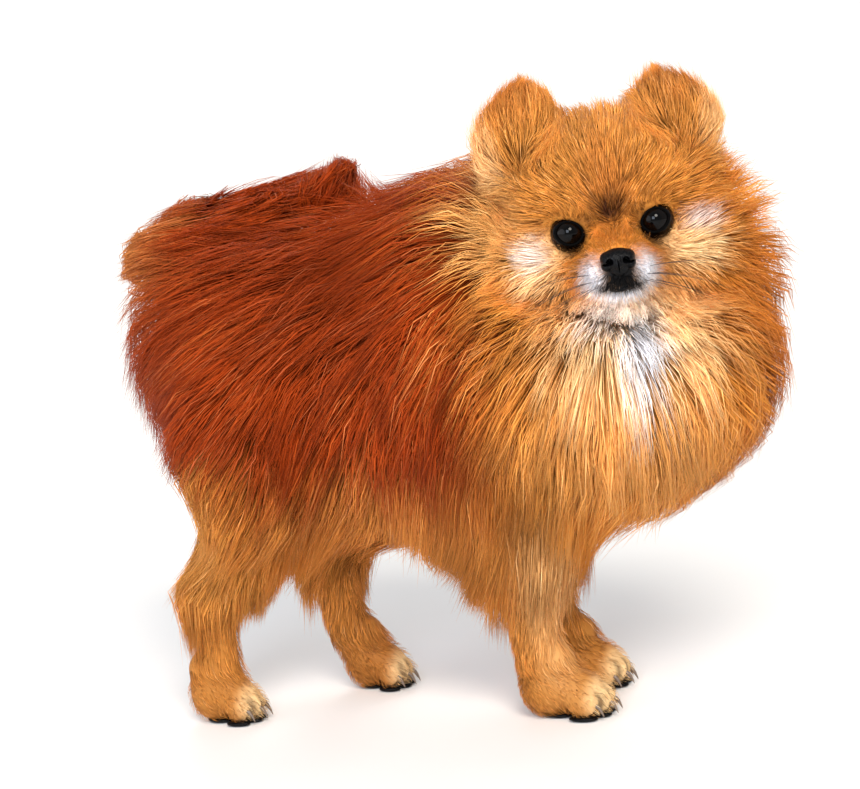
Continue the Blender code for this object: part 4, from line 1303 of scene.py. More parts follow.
@dataclass
class Groom:
    """Combs guide lines over the skin, out to the coat's outline.

    The rise is how far out of the coat's depth a guide has to be at each step. The grip is how far
    it is laid on the surface, and the slack how much of that the hanging coat loses.
    """

    skin: bpy.types.Object
    outline: bpy.types.Object
    lie: Lie
    steps: int = 8
    guides: int = 9000
    locks: int = 650
    seed: int = 11
    rise: tuple = (0.0, 0.26, 0.48, 0.66, 0.80, 0.90, 0.96, 1.0, 1.0)
    over: float = 1.04
    grip: float = 0.85
    slack: float = 0.8
    turn: float = 0.16
    shorter: float = 0.85
    longer: float = 1.12
    crowding: float = 0.9
    lock_share: float = 0.5

    def __post_init__(self) -> None:
        """Read the skin's triangles, with their places on its unwrap."""
        mesh = self.skin.data
        mesh.calc_loop_triangles()
        count = len(mesh.loop_triangles)
        corners = np.empty(count * 3, np.int32)
        loops = np.empty(count * 3, np.int32)
        mesh.loop_triangles.foreach_get("vertices", corners)
        mesh.loop_triangles.foreach_get("loops", loops)
        places = np.empty(len(mesh.vertices) * 3)
        mesh.vertices.foreach_get("co", places)
        normals = np.empty(len(mesh.vertices) * 3)
        mesh.vertices.foreach_get("normal", normals)
        unwrap = np.empty(len(mesh.loops) * 2)
        mesh.uv_layers[BAKE_MAP].data.foreach_get("uv", unwrap)
        self.triangles = places.reshape(-1, 3)[corners.reshape(-1, 3)]
        self.normals = normals.reshape(-1, 3)[corners.reshape(-1, 3)]
        self.unwrap = unwrap.reshape(-1, 2)[loops.reshape(-1, 3)]
        sides = self.triangles[:, 1:] - self.triangles[:, :1]
        self.areas = np.linalg.norm(np.cross(sides[:, 0], sides[:, 1]), axis=1) / 2.0
        graph = bpy.context.evaluated_depsgraph_get()
        self.low = BVHTree.FromObject(self.skin, graph)
        self.high = BVHTree.FromObject(self.outline, graph)
        self.chance = np.random.default_rng(self.seed)

    def roots(self, count: int, density: np.ndarray) -> tuple[np.ndarray, np.ndarray, np.ndarray]:
        """Random places on the skin.

        Args:
            count: How many.
            density: How many each triangle has by its area, as a share.

        Returns:
            The places, the skin's normals there, and the places on its unwrap.
        """
        share = self.areas * density
        chosen = self.chance.choice(len(share), count, p=share / share.sum())
        first = np.sqrt(self.chance.random(count))
        second = self.chance.random(count)
        weights = np.stack([1.0 - first, first * (1.0 - second), first * second], axis=1)[:, :, None]
        return (
            (self.triangles[chosen] * weights).sum(axis=1),
            unit((self.normals[chosen] * weights).sum(axis=1)),
            (self.unwrap[chosen] * weights).sum(axis=1),
        )

    def comb(self) -> None:
        """Lay every guide along the coat's lie, pushed out where the body bulges."""
        middles = self.triangles.mean(axis=1)
        density = 1.0 / np.clip(self.lie.length(middles), 6.0, 50.0) ** self.crowding
        places, normals, _ = self.roots(self.guides, density)
        lengths = self.lie.length(places) * self.chance.uniform(self.shorter, self.longer, self.guides)
        lines = [places]
        turn = self.chance.uniform(-self.turn, self.turn, self.guides)
        ups = normals
        for k in range(self.steps):
            here = lines[-1]
            way = self.lie.direction(here)
            grip = self.grip * (1.0 - self.slack * self.lie.hanging(here))[:, None]
            way -= ups * (way * ups).sum(axis=1, keepdims=True) * grip
            way = unit(way)
            way = unit(way + np.cross(ups, way) * turn[:, None])
            ahead = here + way * (lengths / self.steps)[:, None]
            after, outs = self.held(ahead, self.lie.free(here), k + 1)
            lines.append(self.lie.profile(after))
            ups = unit(ups + outs)
        lines = np.stack(lines, axis=1)
        lines[:, 1:-1] = (lines[:, :-2] + 2.0 * lines[:, 1:-1] + lines[:, 2:]) / 4.0
        self.lines = lines
        locks = self.tree_of(places[:self.locks])
        tones = self.chance.random(self.locks)
        lock = np.array([tones[locks.find(place)[1]] for place in places])
        own = self.chance.random(self.guides)
        self.guide_tone = self.lock_share * lock + (1.0 - self.lock_share) * own
        self.tree = self.tree_of(places)

    def held(self, ahead: np.ndarray, free: np.ndarray, step: int) -> tuple[np.ndarray, np.ndarray]:
        """Guide points held between the least height of their step and the coat's outline.

        Args:
            ahead: Where the combing puts them.
            free: How far each may hang clear of the outline.
            step: Their step, counted from the root.

        Returns:
            The points held, and which way is out of the skin at each.
        """
        after = np.empty_like(ahead)
        outs = np.empty_like(ahead)
        for n, point in enumerate(ahead):
            spot = Vector(point)
            base, out, _, _ = self.low.find_nearest(spot)
            depth = self.high.find_nearest(base)[3]
            height = (spot - base).dot(out)
            least = depth * self.rise[step]
            most = depth * self.over + free[n] * (step / self.steps) ** 1.5
            if height < least:
                spot = base + out * least
            elif height > most:
                spot = base + out * most
            after[n] = spot
            outs[n] = out
        return after, outs

    def tree_of(self, places: np.ndarray) -> KDTree:
        """A tree that finds the nearest of some places."""
        tree = KDTree(len(places))
        for n, place in enumerate(places):
            tree.insert(place, n)
        tree.balance()
        return tree

    def nearest(self, places: np.ndarray) -> tuple[np.ndarray, np.ndarray]:
        """The three guides nearest each place, and how far each is."""
        index = np.empty((len(places), 3), int)
        away = np.empty((len(places), 3))
        for n, place in enumerate(places):
            for k, (_, guide, distance) in enumerate(self.tree.find_n(place, 3)):
                index[n, k] = guide
                away[n, k] = distance
        return index, away


@dataclass
class CoatZone:
    """One stretch of coat: how many tufts it has, how fine they are and how many pieces it makes.

    The clump is how far a tuft joins its nearest guide, the frizz how far it strays by its length,
    and the split is the axis that its pieces are parted along.
    """

    name: str
    slot: Slot
    count: int
    width: float
    rings: int
    clump: float
    frizz: float
    parts: int
    split: int = 1
    flat: float = 0.55


@dataclass
class Coat:
    """Tufts over the skin, in zones that follow the guides.

    Pairs are the least and most that a tuft draws at random. The profile is how thick a tuft is,
    as a share, from root to tip.
    """

    groom: Groom
    markings: Markings
    finish: bpy.types.Material
    patch: float = 0.003
    stretch: tuple = (0.72, 1.08)
    pull: tuple = (0.4, 1.3)
    pull_power: float = 1.4
    pull_most: float = 0.95
    loose_under: float = 0.8
    layer: tuple = (-0.28, 0.05)
    step_power: float = 0.92
    bend_share: float = 0.6
    thickness: tuple = (0.65, 1.3)
    profile: tuple = ((0.0, 0.75), (0.35, 1.0), (0.75, 0.7), (1.0, 0.1))
    corners: tuple = (90.0, 210.0, 330.0)
    full_from: float = 12.0
    thinnest: float = 0.55
    floor_gap: float = 0.4
    sway: float = 1.2
    lock_share: float = 0.6
    wander: tuple = (34.0, 0.0, 22.0)
    wander_share: float = 0.65
    gold_streaks: float = 0.35
    cream_streaks: float = 0.2
    dark_streaks: float = 0.28
    pale_streaks: float = 0.45
    chin_ball: tuple = ((0, -6, -48), (34, 30, 16))
    bare_nose: tuple = ((0.0, 24.5, -15.5), (8.6, 7.5, 6.8))
    bare_lips: tuple = ((0.0, 21.0, -27.1), (11.0, 7.0, 1.9))
    bare_eye: tuple = (6.8, 5.8)
    bare_eye_depth: float = -4.0
    bare_sole: float = 1.2
    clear_nose: tuple = (8.4, 6.4, 6.2)
    clear_eye: tuple = (6.0, 5.0)
    clear_ahead: float = 28.5
    clear_side: float = 7.0
    clear_above: float = -21.0
    zones: tuple = (
        CoatZone("coat_face", Slot.FACE, 36000, 0.36, 2, 0.25, 0.05, 2),
        CoatZone("coat_ears", Slot.FACE, 7500, 0.42, 2, 0.30, 0.07, 1),
        CoatZone("coat_ruff", Slot.RUFF, 39000, 0.54, 2, 0.36, 0.032, 3),
        CoatZone("coat_body", Slot.BODY, 35000, 0.58, 2, 0.42, 0.028, 2, 0),
        CoatZone("coat_thighs", Slot.BODY, 12000, 0.56, 2, 0.40, 0.032, 1),
        CoatZone("coat_tail", Slot.BODY, 5500, 0.62, 3, 0.40, 0.05, 1),
        CoatZone("coat_legs", Slot.LEG, 15500, 0.48, 2, 0.35, 0.04, 1),
    )

    def belongs(self, points: np.ndarray) -> dict[str, np.ndarray]:
        """Which zone each point is in, as one share from 0 to 1 for each zone's name."""
        share = self.groom.lie.weights(points)
        left = np.ones(len(points))
        table = {}
        rows = (
            ("coat_ears", share[Region.EAR]),
            ("coat_face", share[Region.HEAD]),
            ("coat_legs", np.maximum(share[Region.LEG], share[Region.PAW])),
            ("coat_tail", share[Region.TAIL]),
            ("coat_thighs", share[Region.THIGH]),
            ("coat_ruff", share[Region.NECK]),
        )
        for name, weight in rows:
            table[name] = left * (weight > 0.5)
            left = left * (weight <= 0.5)
        table["coat_body"] = left
        return table

    def build(self) -> None:
        """Grow every zone."""
        middles = self.groom.triangles.mean(axis=1)
        inside = self.belongs(middles)
        growth = self.covered(middles) * self.density(middles)
        for zone in self.zones:
            places, ups, unwraps = self.groom.roots(zone.count, inside[zone.name] * growth)
            order = np.argsort(places[:, zone.split])
            for k, part in enumerate(np.array_split(order, zone.parts)):
                name = zone.name if zone.parts == 1 else f"{zone.name}_{k + 1}"
                self.grow(name, zone, places[part], ups[part], unwraps[part])

    def covered(self, points: np.ndarray) -> np.ndarray:
        """1 where coat grows, 0 on the nose leather, the lips, the eyes and the soles."""
        bare = reach(points, *self.bare_nose, True) < 1.0
        bare |= self.over_eyes(to_face(points), self.bare_eye, self.bare_eye_depth)
        bare |= reach(points, *self.bare_lips, True) < 1.0
        bare |= points[:, 2] < FLOOR + self.bare_sole
        return 1.0 - bare

    def over_eyes(self, face: np.ndarray, radii: tuple, depth: float) -> np.ndarray:
        """Which points lie over an eye.

        Args:
            face: Points on the head's frame.
            radii: The eye's opening, to the side and up.
            depth: How far ahead of the eyeball's middle it starts.

        Returns:
            Whether each point is over one of the two eyes.
        """
        over = np.zeros(len(face), bool)
        wide, high = radii
        for hand in Hand:
            near = face - np.array((hand.value * EYE_SIDE, EYE_DEPTH, 0.0))
            over |= (np.hypot(near[:, 0] / wide, near[:, 2] / high) < 1.0) & (near[:, 1] > depth)
        return over

    def density(self, points: np.ndarray) -> np.ndarray:
        """How close tufts stand: closer where they are short, on the muzzle and in the fringes."""
        lie = self.groom.lie
        away = np.linalg.norm(to_face(points) - NOSE, axis=1)
        fringe = 2.5 * lie.feathered(points) + 3.4 * lie.elbow(points) + 4.0 * lie.hock(points)
        fringe += 1.6 * lie.fold(points)
        fringe += 1.4 * ramp(1.4, 0.8, reach(points, *self.chin_ball, True))
        crowd = 1.0 + 2.5 * ramp(40.0, 18.0, away) + fringe
        return crowd / np.clip(lie.length(points), 4.0, 60.0) ** 0.6

    def paths(self, zone: CoatZone, places: np.ndarray, ups: np.ndarray) -> tuple[np.ndarray, np.ndarray]:
        """What each tuft's middle follows.

        Args:
            zone: The zone.
            places: The tufts' roots.
            ups: The skin's normals there.

        Returns:
            For each tuft its points from root to tip, and its nearest guide.
        """
        chance = self.groom.chance
        count = len(places)
        index, away = self.groom.nearest(places)
        weight = 1.0 / (away + 0.5) ** 2
        weight /= weight.sum(axis=1, keepdims=True)
        lines = self.groom.lines[index]
        moves = lines - lines[:, :, :1]
        move = (moves * weight[:, :, None, None]).sum(axis=1)
        steps = np.linspace(0.0, 1.0, zone.rings + 1) ** self.step_power
        where = steps * self.groom.steps
        low = np.minimum(where.astype(int), self.groom.steps - 1)
        share = (where - low)[None, :, None]
        move = move[:, low] * (1.0 - share) + move[:, low + 1] * share
        nearest = lines[:, 0]
        line = nearest[:, low] * (1.0 - share) + nearest[:, low + 1] * share
        stretch = chance.uniform(*self.stretch, count)[:, None, None]
        own = places[:, None] + move * stretch
        climb = steps[None, :, None]
        pull = zone.clump * chance.uniform(*self.pull, count)[:, None, None] * climb ** self.pull_power
        own = own + (line - own) * np.clip(pull, 0.0, self.pull_most) * (stretch > self.loose_under)
        lift = (move * ups[:, None]).sum(axis=2, keepdims=True)
        own = own + ups[:, None] * lift * chance.uniform(*self.layer, count)[:, None, None]
        long = np.linalg.norm(move[:, -1], axis=1)[:, None]
        stray = chance.normal(0.0, 1.0, (count, 3)) * long * zone.frizz
        bend = chance.normal(0.0, 1.0, (count, 3)) * long * zone.frizz * self.bend_share
        own = own + stray[:, None] * climb ** 2
        own = own + bend[:, None] * np.sin(math.pi * climb)
        return own, index[:, 0]

    def clear_of_eyes(self, paths: np.ndarray) -> np.ndarray:
        """Whether each tuft stays off the eyes, the nose leather and the place before it."""
        face = to_face(paths.reshape(-1, 3))
        hit = self.over_eyes(face, self.clear_eye, 0.0)
        hit |= np.linalg.norm((face - NOSE) / np.array(self.clear_nose), axis=1) < 1.0
        side, forward, up = face.T
        hit |= (forward > self.clear_ahead) & (np.abs(side) < self.clear_side) & (up > self.clear_above)
        return ~hit.reshape(paths.shape[:2]).any(axis=1)

    def grow(
        self, name: str, zone: CoatZone, places: np.ndarray, ups: np.ndarray, unwraps: np.ndarray
    ) -> None:
        """One piece of coat as a joined mesh of closed three-sided tufts.

        Args:
            name: The piece's name.
            zone: Its zone.
            places: The tufts' roots.
            ups: The skin's normals there.
            unwraps: The roots' places on the skin's unwrap.
        """
        chance = self.groom.chance
        paths, guide = self.paths(zone, places, ups)
        keep = self.clear_of_eyes(paths)
        paths, guide, ups, unwraps = paths[keep], guide[keep], ups[keep], unwraps[keep]
        paths[:, :, 2] = np.maximum(paths[:, :, 2], FLOOR + self.floor_gap)
        count = len(paths)
        rings = zone.rings
        along = unit(np.concatenate([paths[:, 1:2] - paths[:, :1], paths[:, 2:] - paths[:, :-2]], axis=1))
        across = unit(np.cross(along, ups[:, None]) + 1e-4)
        ridge = np.cross(across, along)
        profile = np.interp(np.linspace(0.0, 1.0, rings + 1)[:-1], *zip(*self.profile))
        long = np.linalg.norm(paths[:, -1] - paths[:, 0], axis=1)
        size = zone.width * chance.uniform(*self.thickness, count)
        size = size * np.clip(long / self.full_from, self.thinnest, 1.0) / 2.0
        half = size[:, None] * profile[None]
        angles = np.radians(self.corners)
        round_ = (
            across[:, :, None] * np.cos(angles)[None, None, :, None]
            - ridge[:, :, None] * np.sin(angles)[None, None, :, None] * zone.flat
        )
        corners = paths[:, :-1, None] + round_ * half[:, :, None, None]
        points = np.concatenate([corners.reshape(count, -1, 3), paths[:, -1:]], axis=1)
        mesh = self.mesh_of(name, points, rings)
        self.paint(mesh, paths, guide, rings)
        self.lay_unwrap(mesh, unwraps, rings)
        seat(placed(name, mesh), name, self.finish)

    def faces_of(self, rings: int) -> np.ndarray:
        """The triangles of one tuft, by the numbers of its points."""
        faces = [(0, 1, 2)]
        for j in range(rings - 1):
            for k in range(3):
                a, b = 3 * j + k, 3 * j + (k + 1) % 3
                faces += [(a, a + 3, b + 3), (a, b + 3, b)]
        last = 3 * (rings - 1)
        faces += [(last + k, 3 * rings, last + (k + 1) % 3) for k in range(3)]
        return np.array(faces, np.int32)

    def mesh_of(self, name: str, points: np.ndarray, rings: int) -> bpy.types.Mesh:
        """A mesh from every tuft's points."""
        count, each = points.shape[:2]
        faces = self.faces_of(rings)[None] + (np.arange(count, dtype=np.int32) * each)[:, None, None]
        mesh = bpy.data.meshes.new(name)
        mesh.vertices.add(count * each)
        mesh.vertices.foreach_set("co", points.astype(np.float32).ravel())
        mesh.loops.add(faces.size)
        mesh.loops.foreach_set("vertex_index", faces.ravel())
        mesh.polygons.add(faces.size // 3)
        mesh.polygons.foreach_set("loop_start", np.arange(0, faces.size, 3, dtype=np.int32))
        mesh.polygons.foreach_set("use_smooth", np.ones(faces.size // 3, bool))
        mesh.update(calc_edges=True)
        return mesh

    def paint(self, mesh: bpy.types.Mesh, paths: np.ndarray, guide: np.ndarray, rings: int) -> None:
        """Write the tone and shade that each tuft carries, the same from root to tip but for its light.

        Args:
            mesh: The tufts' mesh.
            paths: What each tuft's middle follows.
            guide: Each tuft's nearest guide.
            rings: How many rings a tuft has under its tip.
        """
        chance = self.groom.chance
        count = len(paths)
        where = paths[:, max(1, rings * 2 // 3)] + chance.normal(0.0, self.sway, (count, 3))
        tones, streak = self.tuft_tones(where, self.groom.guide_tone[guide], chance.random(count))
        steps = np.linspace(0.0, 1.0, rings + 1)
        climb = np.append(np.repeat(steps[:-1], 3), 1.0)
        # Painted shade at the root, less of it in cream and white tufts.
        pale = np.clip(0.85 * tones[:, Tone.CREAM] + 0.85 * tones[:, Tone.WHITE], 0.0, 0.8)[:, None]
        shade = np.ones((count, len(climb), len(Shade)), np.float32)
        shade[:, :, Shade.DARK] = tones[:, Tone.DARK, None]
        shade[:, :, Shade.ALONG] = climb[None] ** 0.8 * (1.0 - pale) + pale
        shade[:, :, Shade.STREAK] = streak[:, None]
        shade[:, :, Shade.BLACK] = tones[:, Tone.BLACK, None]
        laid = tones[:, None, :Tone.WHITE + 1]
        paint_points(mesh, np.repeat(laid, len(climb), axis=1).astype(np.float32), shade)

    def tuft_tones(
        self, where: np.ndarray, lock: np.ndarray, own: np.ndarray
    ) -> tuple[np.ndarray, np.ndarray]:
        """The tones of each tuft, varied by its lock and by itself, and its streak.

        Args:
            where: Where the markings are read for each tuft.
            lock: The random tone of each tuft's lock, from 0 to 1.
            own: Each tuft's own random tone, from 0 to 1.

        Returns:
            The shares of the six tones, and the streak from 0, dark, to 1, light.
        """
        tones = self.markings.shares(where)
        streak = self.lock_share * lock + (1.0 - self.lock_share) * own
        wander = where + (streak - 0.5)[:, None] * np.array(self.wander)
        near, far = tones[:, Tone.RED], self.markings.shares(wander)[:, Tone.RED]
        red = (1.0 - self.wander_share) * near + self.wander_share * far
        streak = 0.5 + (streak - 0.5) * (1.0 - self.pale_streaks * tones[:, Tone.CREAM])
        gold = tones[:, Tone.GOLD] + self.gold_streaks * ramp(0.62, 0.9, streak) * (1.0 - red * 0.6)
        cream = tones[:, Tone.CREAM] * (0.55 + 0.75 * own)
        cream += self.cream_streaks * ramp(0.85, 1.0, own) * (1.0 - 0.7 * red)
        cream = np.clip(cream, 0.0, 1.0)
        dark = tones[:, Tone.DARK] * (0.6 + 0.7 * own)
        dark += self.dark_streaks * ramp(0.28, 0.06, streak) * (1.0 - cream)
        tones[:, Tone.RED] = red
        tones[:, Tone.GOLD] = np.clip(gold, 0.0, 1.0)
        tones[:, Tone.CREAM] = cream
        tones[:, Tone.DARK] = np.clip(dark, 0.0, 1.0)
        return tones, streak

    def lay_unwrap(self, mesh: bpy.types.Mesh, unwraps: np.ndarray, rings: int) -> None:
        """Give each tuft a small patch of its own at its root's place on the skin's unwrap."""
        steps = np.append(np.repeat(np.linspace(0.0, 1.0, rings + 1)[:-1], 3), 1.0) - 0.5
        sides = np.append(np.tile((-0.5, 0.5, 0.0), rings), 0.0)
        spots = np.stack([sides, steps], axis=1) * self.patch
        places = unwraps[:, None] + spots[None]
        corner = np.empty(len(mesh.loops), np.int32)
        mesh.loops.foreach_get("vertex_index", corner)
        layer = mesh.uv_layers.new(name=BAKE_MAP)
        layer.data.foreach_set("uv", places.reshape(-1, 2)[corner].astype(np.float32).ravel())


@dataclass
class Skin:
    """The dog's skin under the coat, one closed form in the coat's own colours, darkened with painted shade.
    """

    form: BodyForm
    markings: Markings
    depth: float = 0.42
    inset: float = 2.4
    # painted shade: how light the skin is between the roots, and how much lighter under pale coat
    light: float = 0.12
    pale_light: float = 0.7
    even_streak: float = 0.5
    socket_gap: float = 0.15
    seam_angle: float = math.radians(66.0)
    island_gap: float = 0.004

    def build(self) -> bpy.types.Object:
        """Model the skin with its sockets and unwrap it.

        Returns:
            The skin, still on the drafting frame.
        """
        skin = self.form.build("skin", self.depth, self.inset)
        for hand in Hand:
            middle = (hand.value * EYE_SIDE, EYE_DEPTH, 0.0)
            cut(skin, ellipsoid(middle, (EYE_RADIUS + self.socket_gap,) * 3, True, 48))
        pick([skin])
        bpy.ops.object.mode_set(mode="EDIT")
        bpy.ops.mesh.select_all(action="SELECT")
        bpy.ops.uv.smart_project(angle_limit=self.seam_angle, island_margin=self.island_gap)
        bpy.ops.object.mode_set(mode="OBJECT")
        skin.data.uv_layers.active.name = BAKE_MAP
        return skin

    def dress(self, skin: bpy.types.Object, finish: bpy.types.Material) -> None:
        """Give the skin the coat's markings, darkened with painted shade between the roots.

        Args:
            skin: The skin.
            finish: The coat's material.
        """
        places = np.empty(len(skin.data.vertices) * 3)
        skin.data.vertices.foreach_get("co", places)
        shares = self.markings.shares(places.reshape(-1, 3)).astype(np.float32)
        # Painted shade: the skin between the roots is darker than the coat, less so under cream and white.
        shade = np.full((len(shares), len(Shade)), self.light, np.float32)
        shade[:, Shade.DARK] = shares[:, Tone.DARK]
        pale = np.clip(shares[:, Tone.CREAM] + shares[:, Tone.WHITE], 0.0, 1.0)
        shade[:, Shade.ALONG] += self.pale_light * pale
        shade[:, Shade.STREAK] = self.even_streak
        shade[:, Shade.BLACK] = shares[:, Tone.BLACK]
        paint_points(skin.data, shares[:, :Tone.WHITE + 1], shade)
        seat(skin, "skin", finish)
        flesh = ["head", "neck", "torso", "tail"]
        for hand in Hand:
            flesh += [f"ear_{hand.label}", f"thigh_{hand.label}"]
            flesh += [f"{part}_{end}_{hand.label}" for part in ("leg", "paw") for end in ("front", "hind")]
        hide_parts(*flesh)


# Eyes, nose, mouth and claws


@dataclass
class Eyes:
    """Two eyeballs with a raised cornea, and the black rims of the lids."""

    cornea_radius: float = 5.6
    cornea_rise: float = 0.7
    lid_side: float = 6.2
    lid_up: float = 5.3
    lid_round: float = 0.6
    lid_points: int = 48
    lid_gap: float = 0.2
    almond: float = 0.18
    slant: float = 0.10
    gaze: tuple = (0.0, 1.0, 0.06)

    def build(self) -> None:
        """Model both eyes and their lids."""
        rim = LeatherFinish(
            name="matt_lid_skin", deep="020202", raised="060505", pebble_mm=0.5, roughness=0.8, bump=0.3,
            specular=0.06,
        ).build()
        for hand in Hand:
            centre = (hand.value * EYE_SIDE, EYE_DEPTH, 0.0)
            ball = ellipsoid(centre, (EYE_RADIUS,) * 3, True, 64)
            middle = on_face(*centre)
            look = Vector(TURN @ np.array(self.gaze)).normalized()
            for vert in ball.data.vertices:
                off = (vert.co - middle).normalized().angle(look) * EYE_RADIUS
                rise = max(0.0, 1.0 - (off / self.cornea_radius) ** 2) * self.cornea_rise
                vert.co += look * rise
            smooth(ball)
            finish = EyeFinish(f"cornea_over_dark_iris_{hand.label}").build(TO_FRAME @ middle, look)
            seat(ball, f"eyeball_{hand.label}", finish)
            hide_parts(f"eye_{hand.label}")
            seat(self.lid(hand), f"lid_rim_{hand.label}", rim)

    def lid(self, hand: Hand) -> bpy.types.Object:
        """The rim of the lids, an almond that lies on the eyeball."""
        points = []
        widths = []
        for k in range(self.lid_points):
            angle = 2.0 * math.pi * k / self.lid_points
            side = self.lid_side * math.cos(angle)
            up = self.lid_up * math.sin(angle) * (1.0 - self.almond * abs(math.cos(angle)) ** 3)
            up += hand.value * side * self.slant
            ahead = math.sqrt(max(1.0, (EYE_RADIUS + self.lid_gap) ** 2 - side * side - up * up))
            points.append(on_face(hand.value * EYE_SIDE + side, EYE_DEPTH + ahead, up))
            widths.append(0.9 + 0.25 * abs(math.cos(angle)) - 0.1 * math.sin(angle))
        rim = tube_along("lid", points, widths, self.lid_round, True, 4)
        smooth(rim)
        return rim


@dataclass
class Nose:
    """The nose leather: a broad pad with rolled wings round two comma-shaped nostrils.

    Each form is a centre, by side, forward and up from the nose, and radii. Wings and nostrils are
    given for the left and mirrored.
    """

    pads: tuple = (
        ((0.0, 0.0, 0.6), (7.9, 5.4, 4.9)),
        ((0.0, -1.0, -3.2), (4.6, 5.0, 4.2)),
        ((0.0, 0.4, -0.6), (3.4, 5.6, 4.6)),
    )
    wings: tuple = (((4.7, 0.6, 1.2), (3.2, 4.7, 3.2)), ((5.6, -0.4, -1.6), (2.3, 4.2, 2.6)))
    cleft: tuple = (((0.0, 5.2, -4.0), (0.36, 1.9, 5.2)),)
    nostrils: tuple = (((3.7, 4.1, -0.3), (1.7, 3.6, 1.7)), ((5.3, 3.4, -1.3), (2.2, 3.0, 0.7)))
    voxel: float = 0.38
    rounds: int = 6

    def forms(self, middle: tuple, mirrored: tuple, detail: int) -> list[bpy.types.Object]:
        """Ellipsoids on the nose, those of the middle first and then both sides' own."""
        rows = [(np.array(centre), radii) for centre, radii in middle]
        for hand in Hand:
            rows += [(np.array(centre) * (hand.value, 1.0, 1.0), radii) for centre, radii in mirrored]
        return [ellipsoid(NOSE + centre, radii, True, detail) for centre, radii in rows]

    def build(self, leather: bpy.types.Material) -> None:
        """Model the nose.

        Args:
            leather: Its material.
        """
        nose = melted(self.forms(self.pads, self.wings, 32), "nose_leather", self.voxel, self.rounds)
        for hole in self.forms(self.cleft, self.nostrils, 24):
            cut(nose, hole)
        smooth(nose)
        seat(nose, "nose_pad", leather)
        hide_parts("nose")


@dataclass
class Mouth:
    """The lips' dark line from corner to corner, which follows the muzzle's round."""

    corner_side: float = 17.0
    corner_ahead: float = 2.0
    bow: float = 19.5
    lip_up: float = -26.9
    wave: float = 1.6
    seen: float = 0.72
    half_points: int = 15
    lip_round: float = 1.3
    upper: tuple = (0.7, 0.75)
    lower: tuple = (0.3, -0.95)

    def curve(self, t: float, out: float, lift: float) -> Vector:
        """A point of the mouth's line, from -1 at one corner to 1 at the other."""
        bow = 1.0 - abs(t) ** 1.6
        up = self.lip_up + self.wave * abs(math.sin(math.pi * t)) + lift
        return on_face(self.corner_side * t, self.corner_ahead + self.bow * bow + out, up)

    def build(self, leather: bpy.types.Material) -> None:
        """Model the lips.

        Args:
            leather: Their material.
        """
        half = self.half_points
        spots = [self.seen * (k / half - 1.0) for k in range(2 * half + 1)]
        widths = [0.3 + 0.7 * (1.0 - abs(t / self.seen) ** 2.2) for t in spots]
        lips = joined([
            tube_along("lip", [self.curve(t, *lip) for t in spots], widths, self.lip_round, False, 4)
            for lip in (self.upper, self.lower)
        ], "lips")
        smooth(lips)
        seat(lips, "lips", leather)


@dataclass
class Whiskers:
    """Three rows of three whiskers on each side of the muzzle, bowed back and down.

    The root, out and drop are by side, forward and up on the head, and each row or column changes
    them by its step.
    """

    rows: int = 3
    columns: int = 3
    radius: float = 0.16
    taper: float = 0.9
    root: tuple = (9.5, 17.0, -20.0)
    column_step: tuple = (1.5, -4.0, 0.0)
    row_step: float = -2.6
    length: float = 26.0
    length_spread: float = 8.0
    length_step: float = 4.0
    sag: float = 0.55
    points: int = 9
    seed: int = 5

    def build(self, horn: bpy.types.Material) -> None:
        """Model the whiskers.

        Args:
            horn: Their material.
        """
        chance = np.random.default_rng(self.seed)
        steps = np.linspace(0.0, 1.0, self.points)
        widths = list(1.0 - self.taper * steps)
        hairs = []
        for hand in Hand:
            for row, column in np.ndindex(self.rows, self.columns):
                side, forward, up = np.array(self.root) + np.array(self.column_step) * column
                root = np.array((hand.value * side, forward, up + self.row_step * row))
                long = self.length + self.length_spread * chance.random() + self.length_step * column
                out = np.array((hand.value * (1.0 + 0.2 * chance.random()), -0.15, 0.10 - 0.22 * row))
                drop = np.array((0.0, -0.45, -0.35 - 0.2 * chance.random()))
                path = [on_face(*(root + out * long * s + drop * long * self.sag * s * s)) for s in steps]
                hairs.append(tube_along("whisker", path, widths, self.radius, False, 1))
        seat(joined(hairs, "whiskers"), "whiskers", horn)


@dataclass
class Claws:
    """Four curved claws on each paw, and the black edge of the toe pads under them."""

    length: float = 3.6
    radius: float = 1.0
    height: float = 7.4
    drop: float = 5.6
    set_back: float = 3.2
    widths: tuple = (1.0, 1.0, 0.95, 0.85, 0.68, 0.45, 0.12)
    toe_pad_height: float = 1.4
    heel_pad_height: float = 1.5

    def claw(self, ahead: float, beside: float, reach_ahead: float) -> bpy.types.Object:
        """One claw, curved down from its toe."""
        base = ahead + reach_ahead - self.set_back
        points = []
        for s in np.linspace(0.0, 1.0, len(self.widths)):
            up = FLOOR + self.height - self.drop * s ** 1.8
            points.append(Vector((base + self.length * s, beside, up)))
        return tube_along("claw", points, list(self.widths), self.radius, False, 2)

    def build(self, horn: bpy.types.Material, leather: bpy.types.Material) -> None:
        """Model every claw and pad.

        Args:
            horn: The claws' material.
            leather: The pads' material.
        """
        claws = []
        pads = []
        for paw in BodyForm.paws:
            x, y, width, length = paw
            for ahead, beside in toe_places(paw):
                claws.append(self.claw(ahead, beside, length * 0.37))
                pads.append(ellipsoid(
                    (ahead, beside, FLOOR + self.toe_pad_height),
                    (length * 0.27, width * 0.22, self.toe_pad_height), detail=16,
                ))
            pads.append(ellipsoid(
                (x - length * 0.2, y, FLOOR + self.heel_pad_height),
                (length * 0.34, width * 0.5, self.heel_pad_height), detail=20,
            ))
        for pieces, name, slot, finish in (
            (claws, "claws", Slot.CLAW, horn), (pads, "toe_pads", Slot.NOSE, leather),
        ):
            whole = joined(pieces, name)
            smooth(whole)
            seat(whole, name, finish)


# The studio


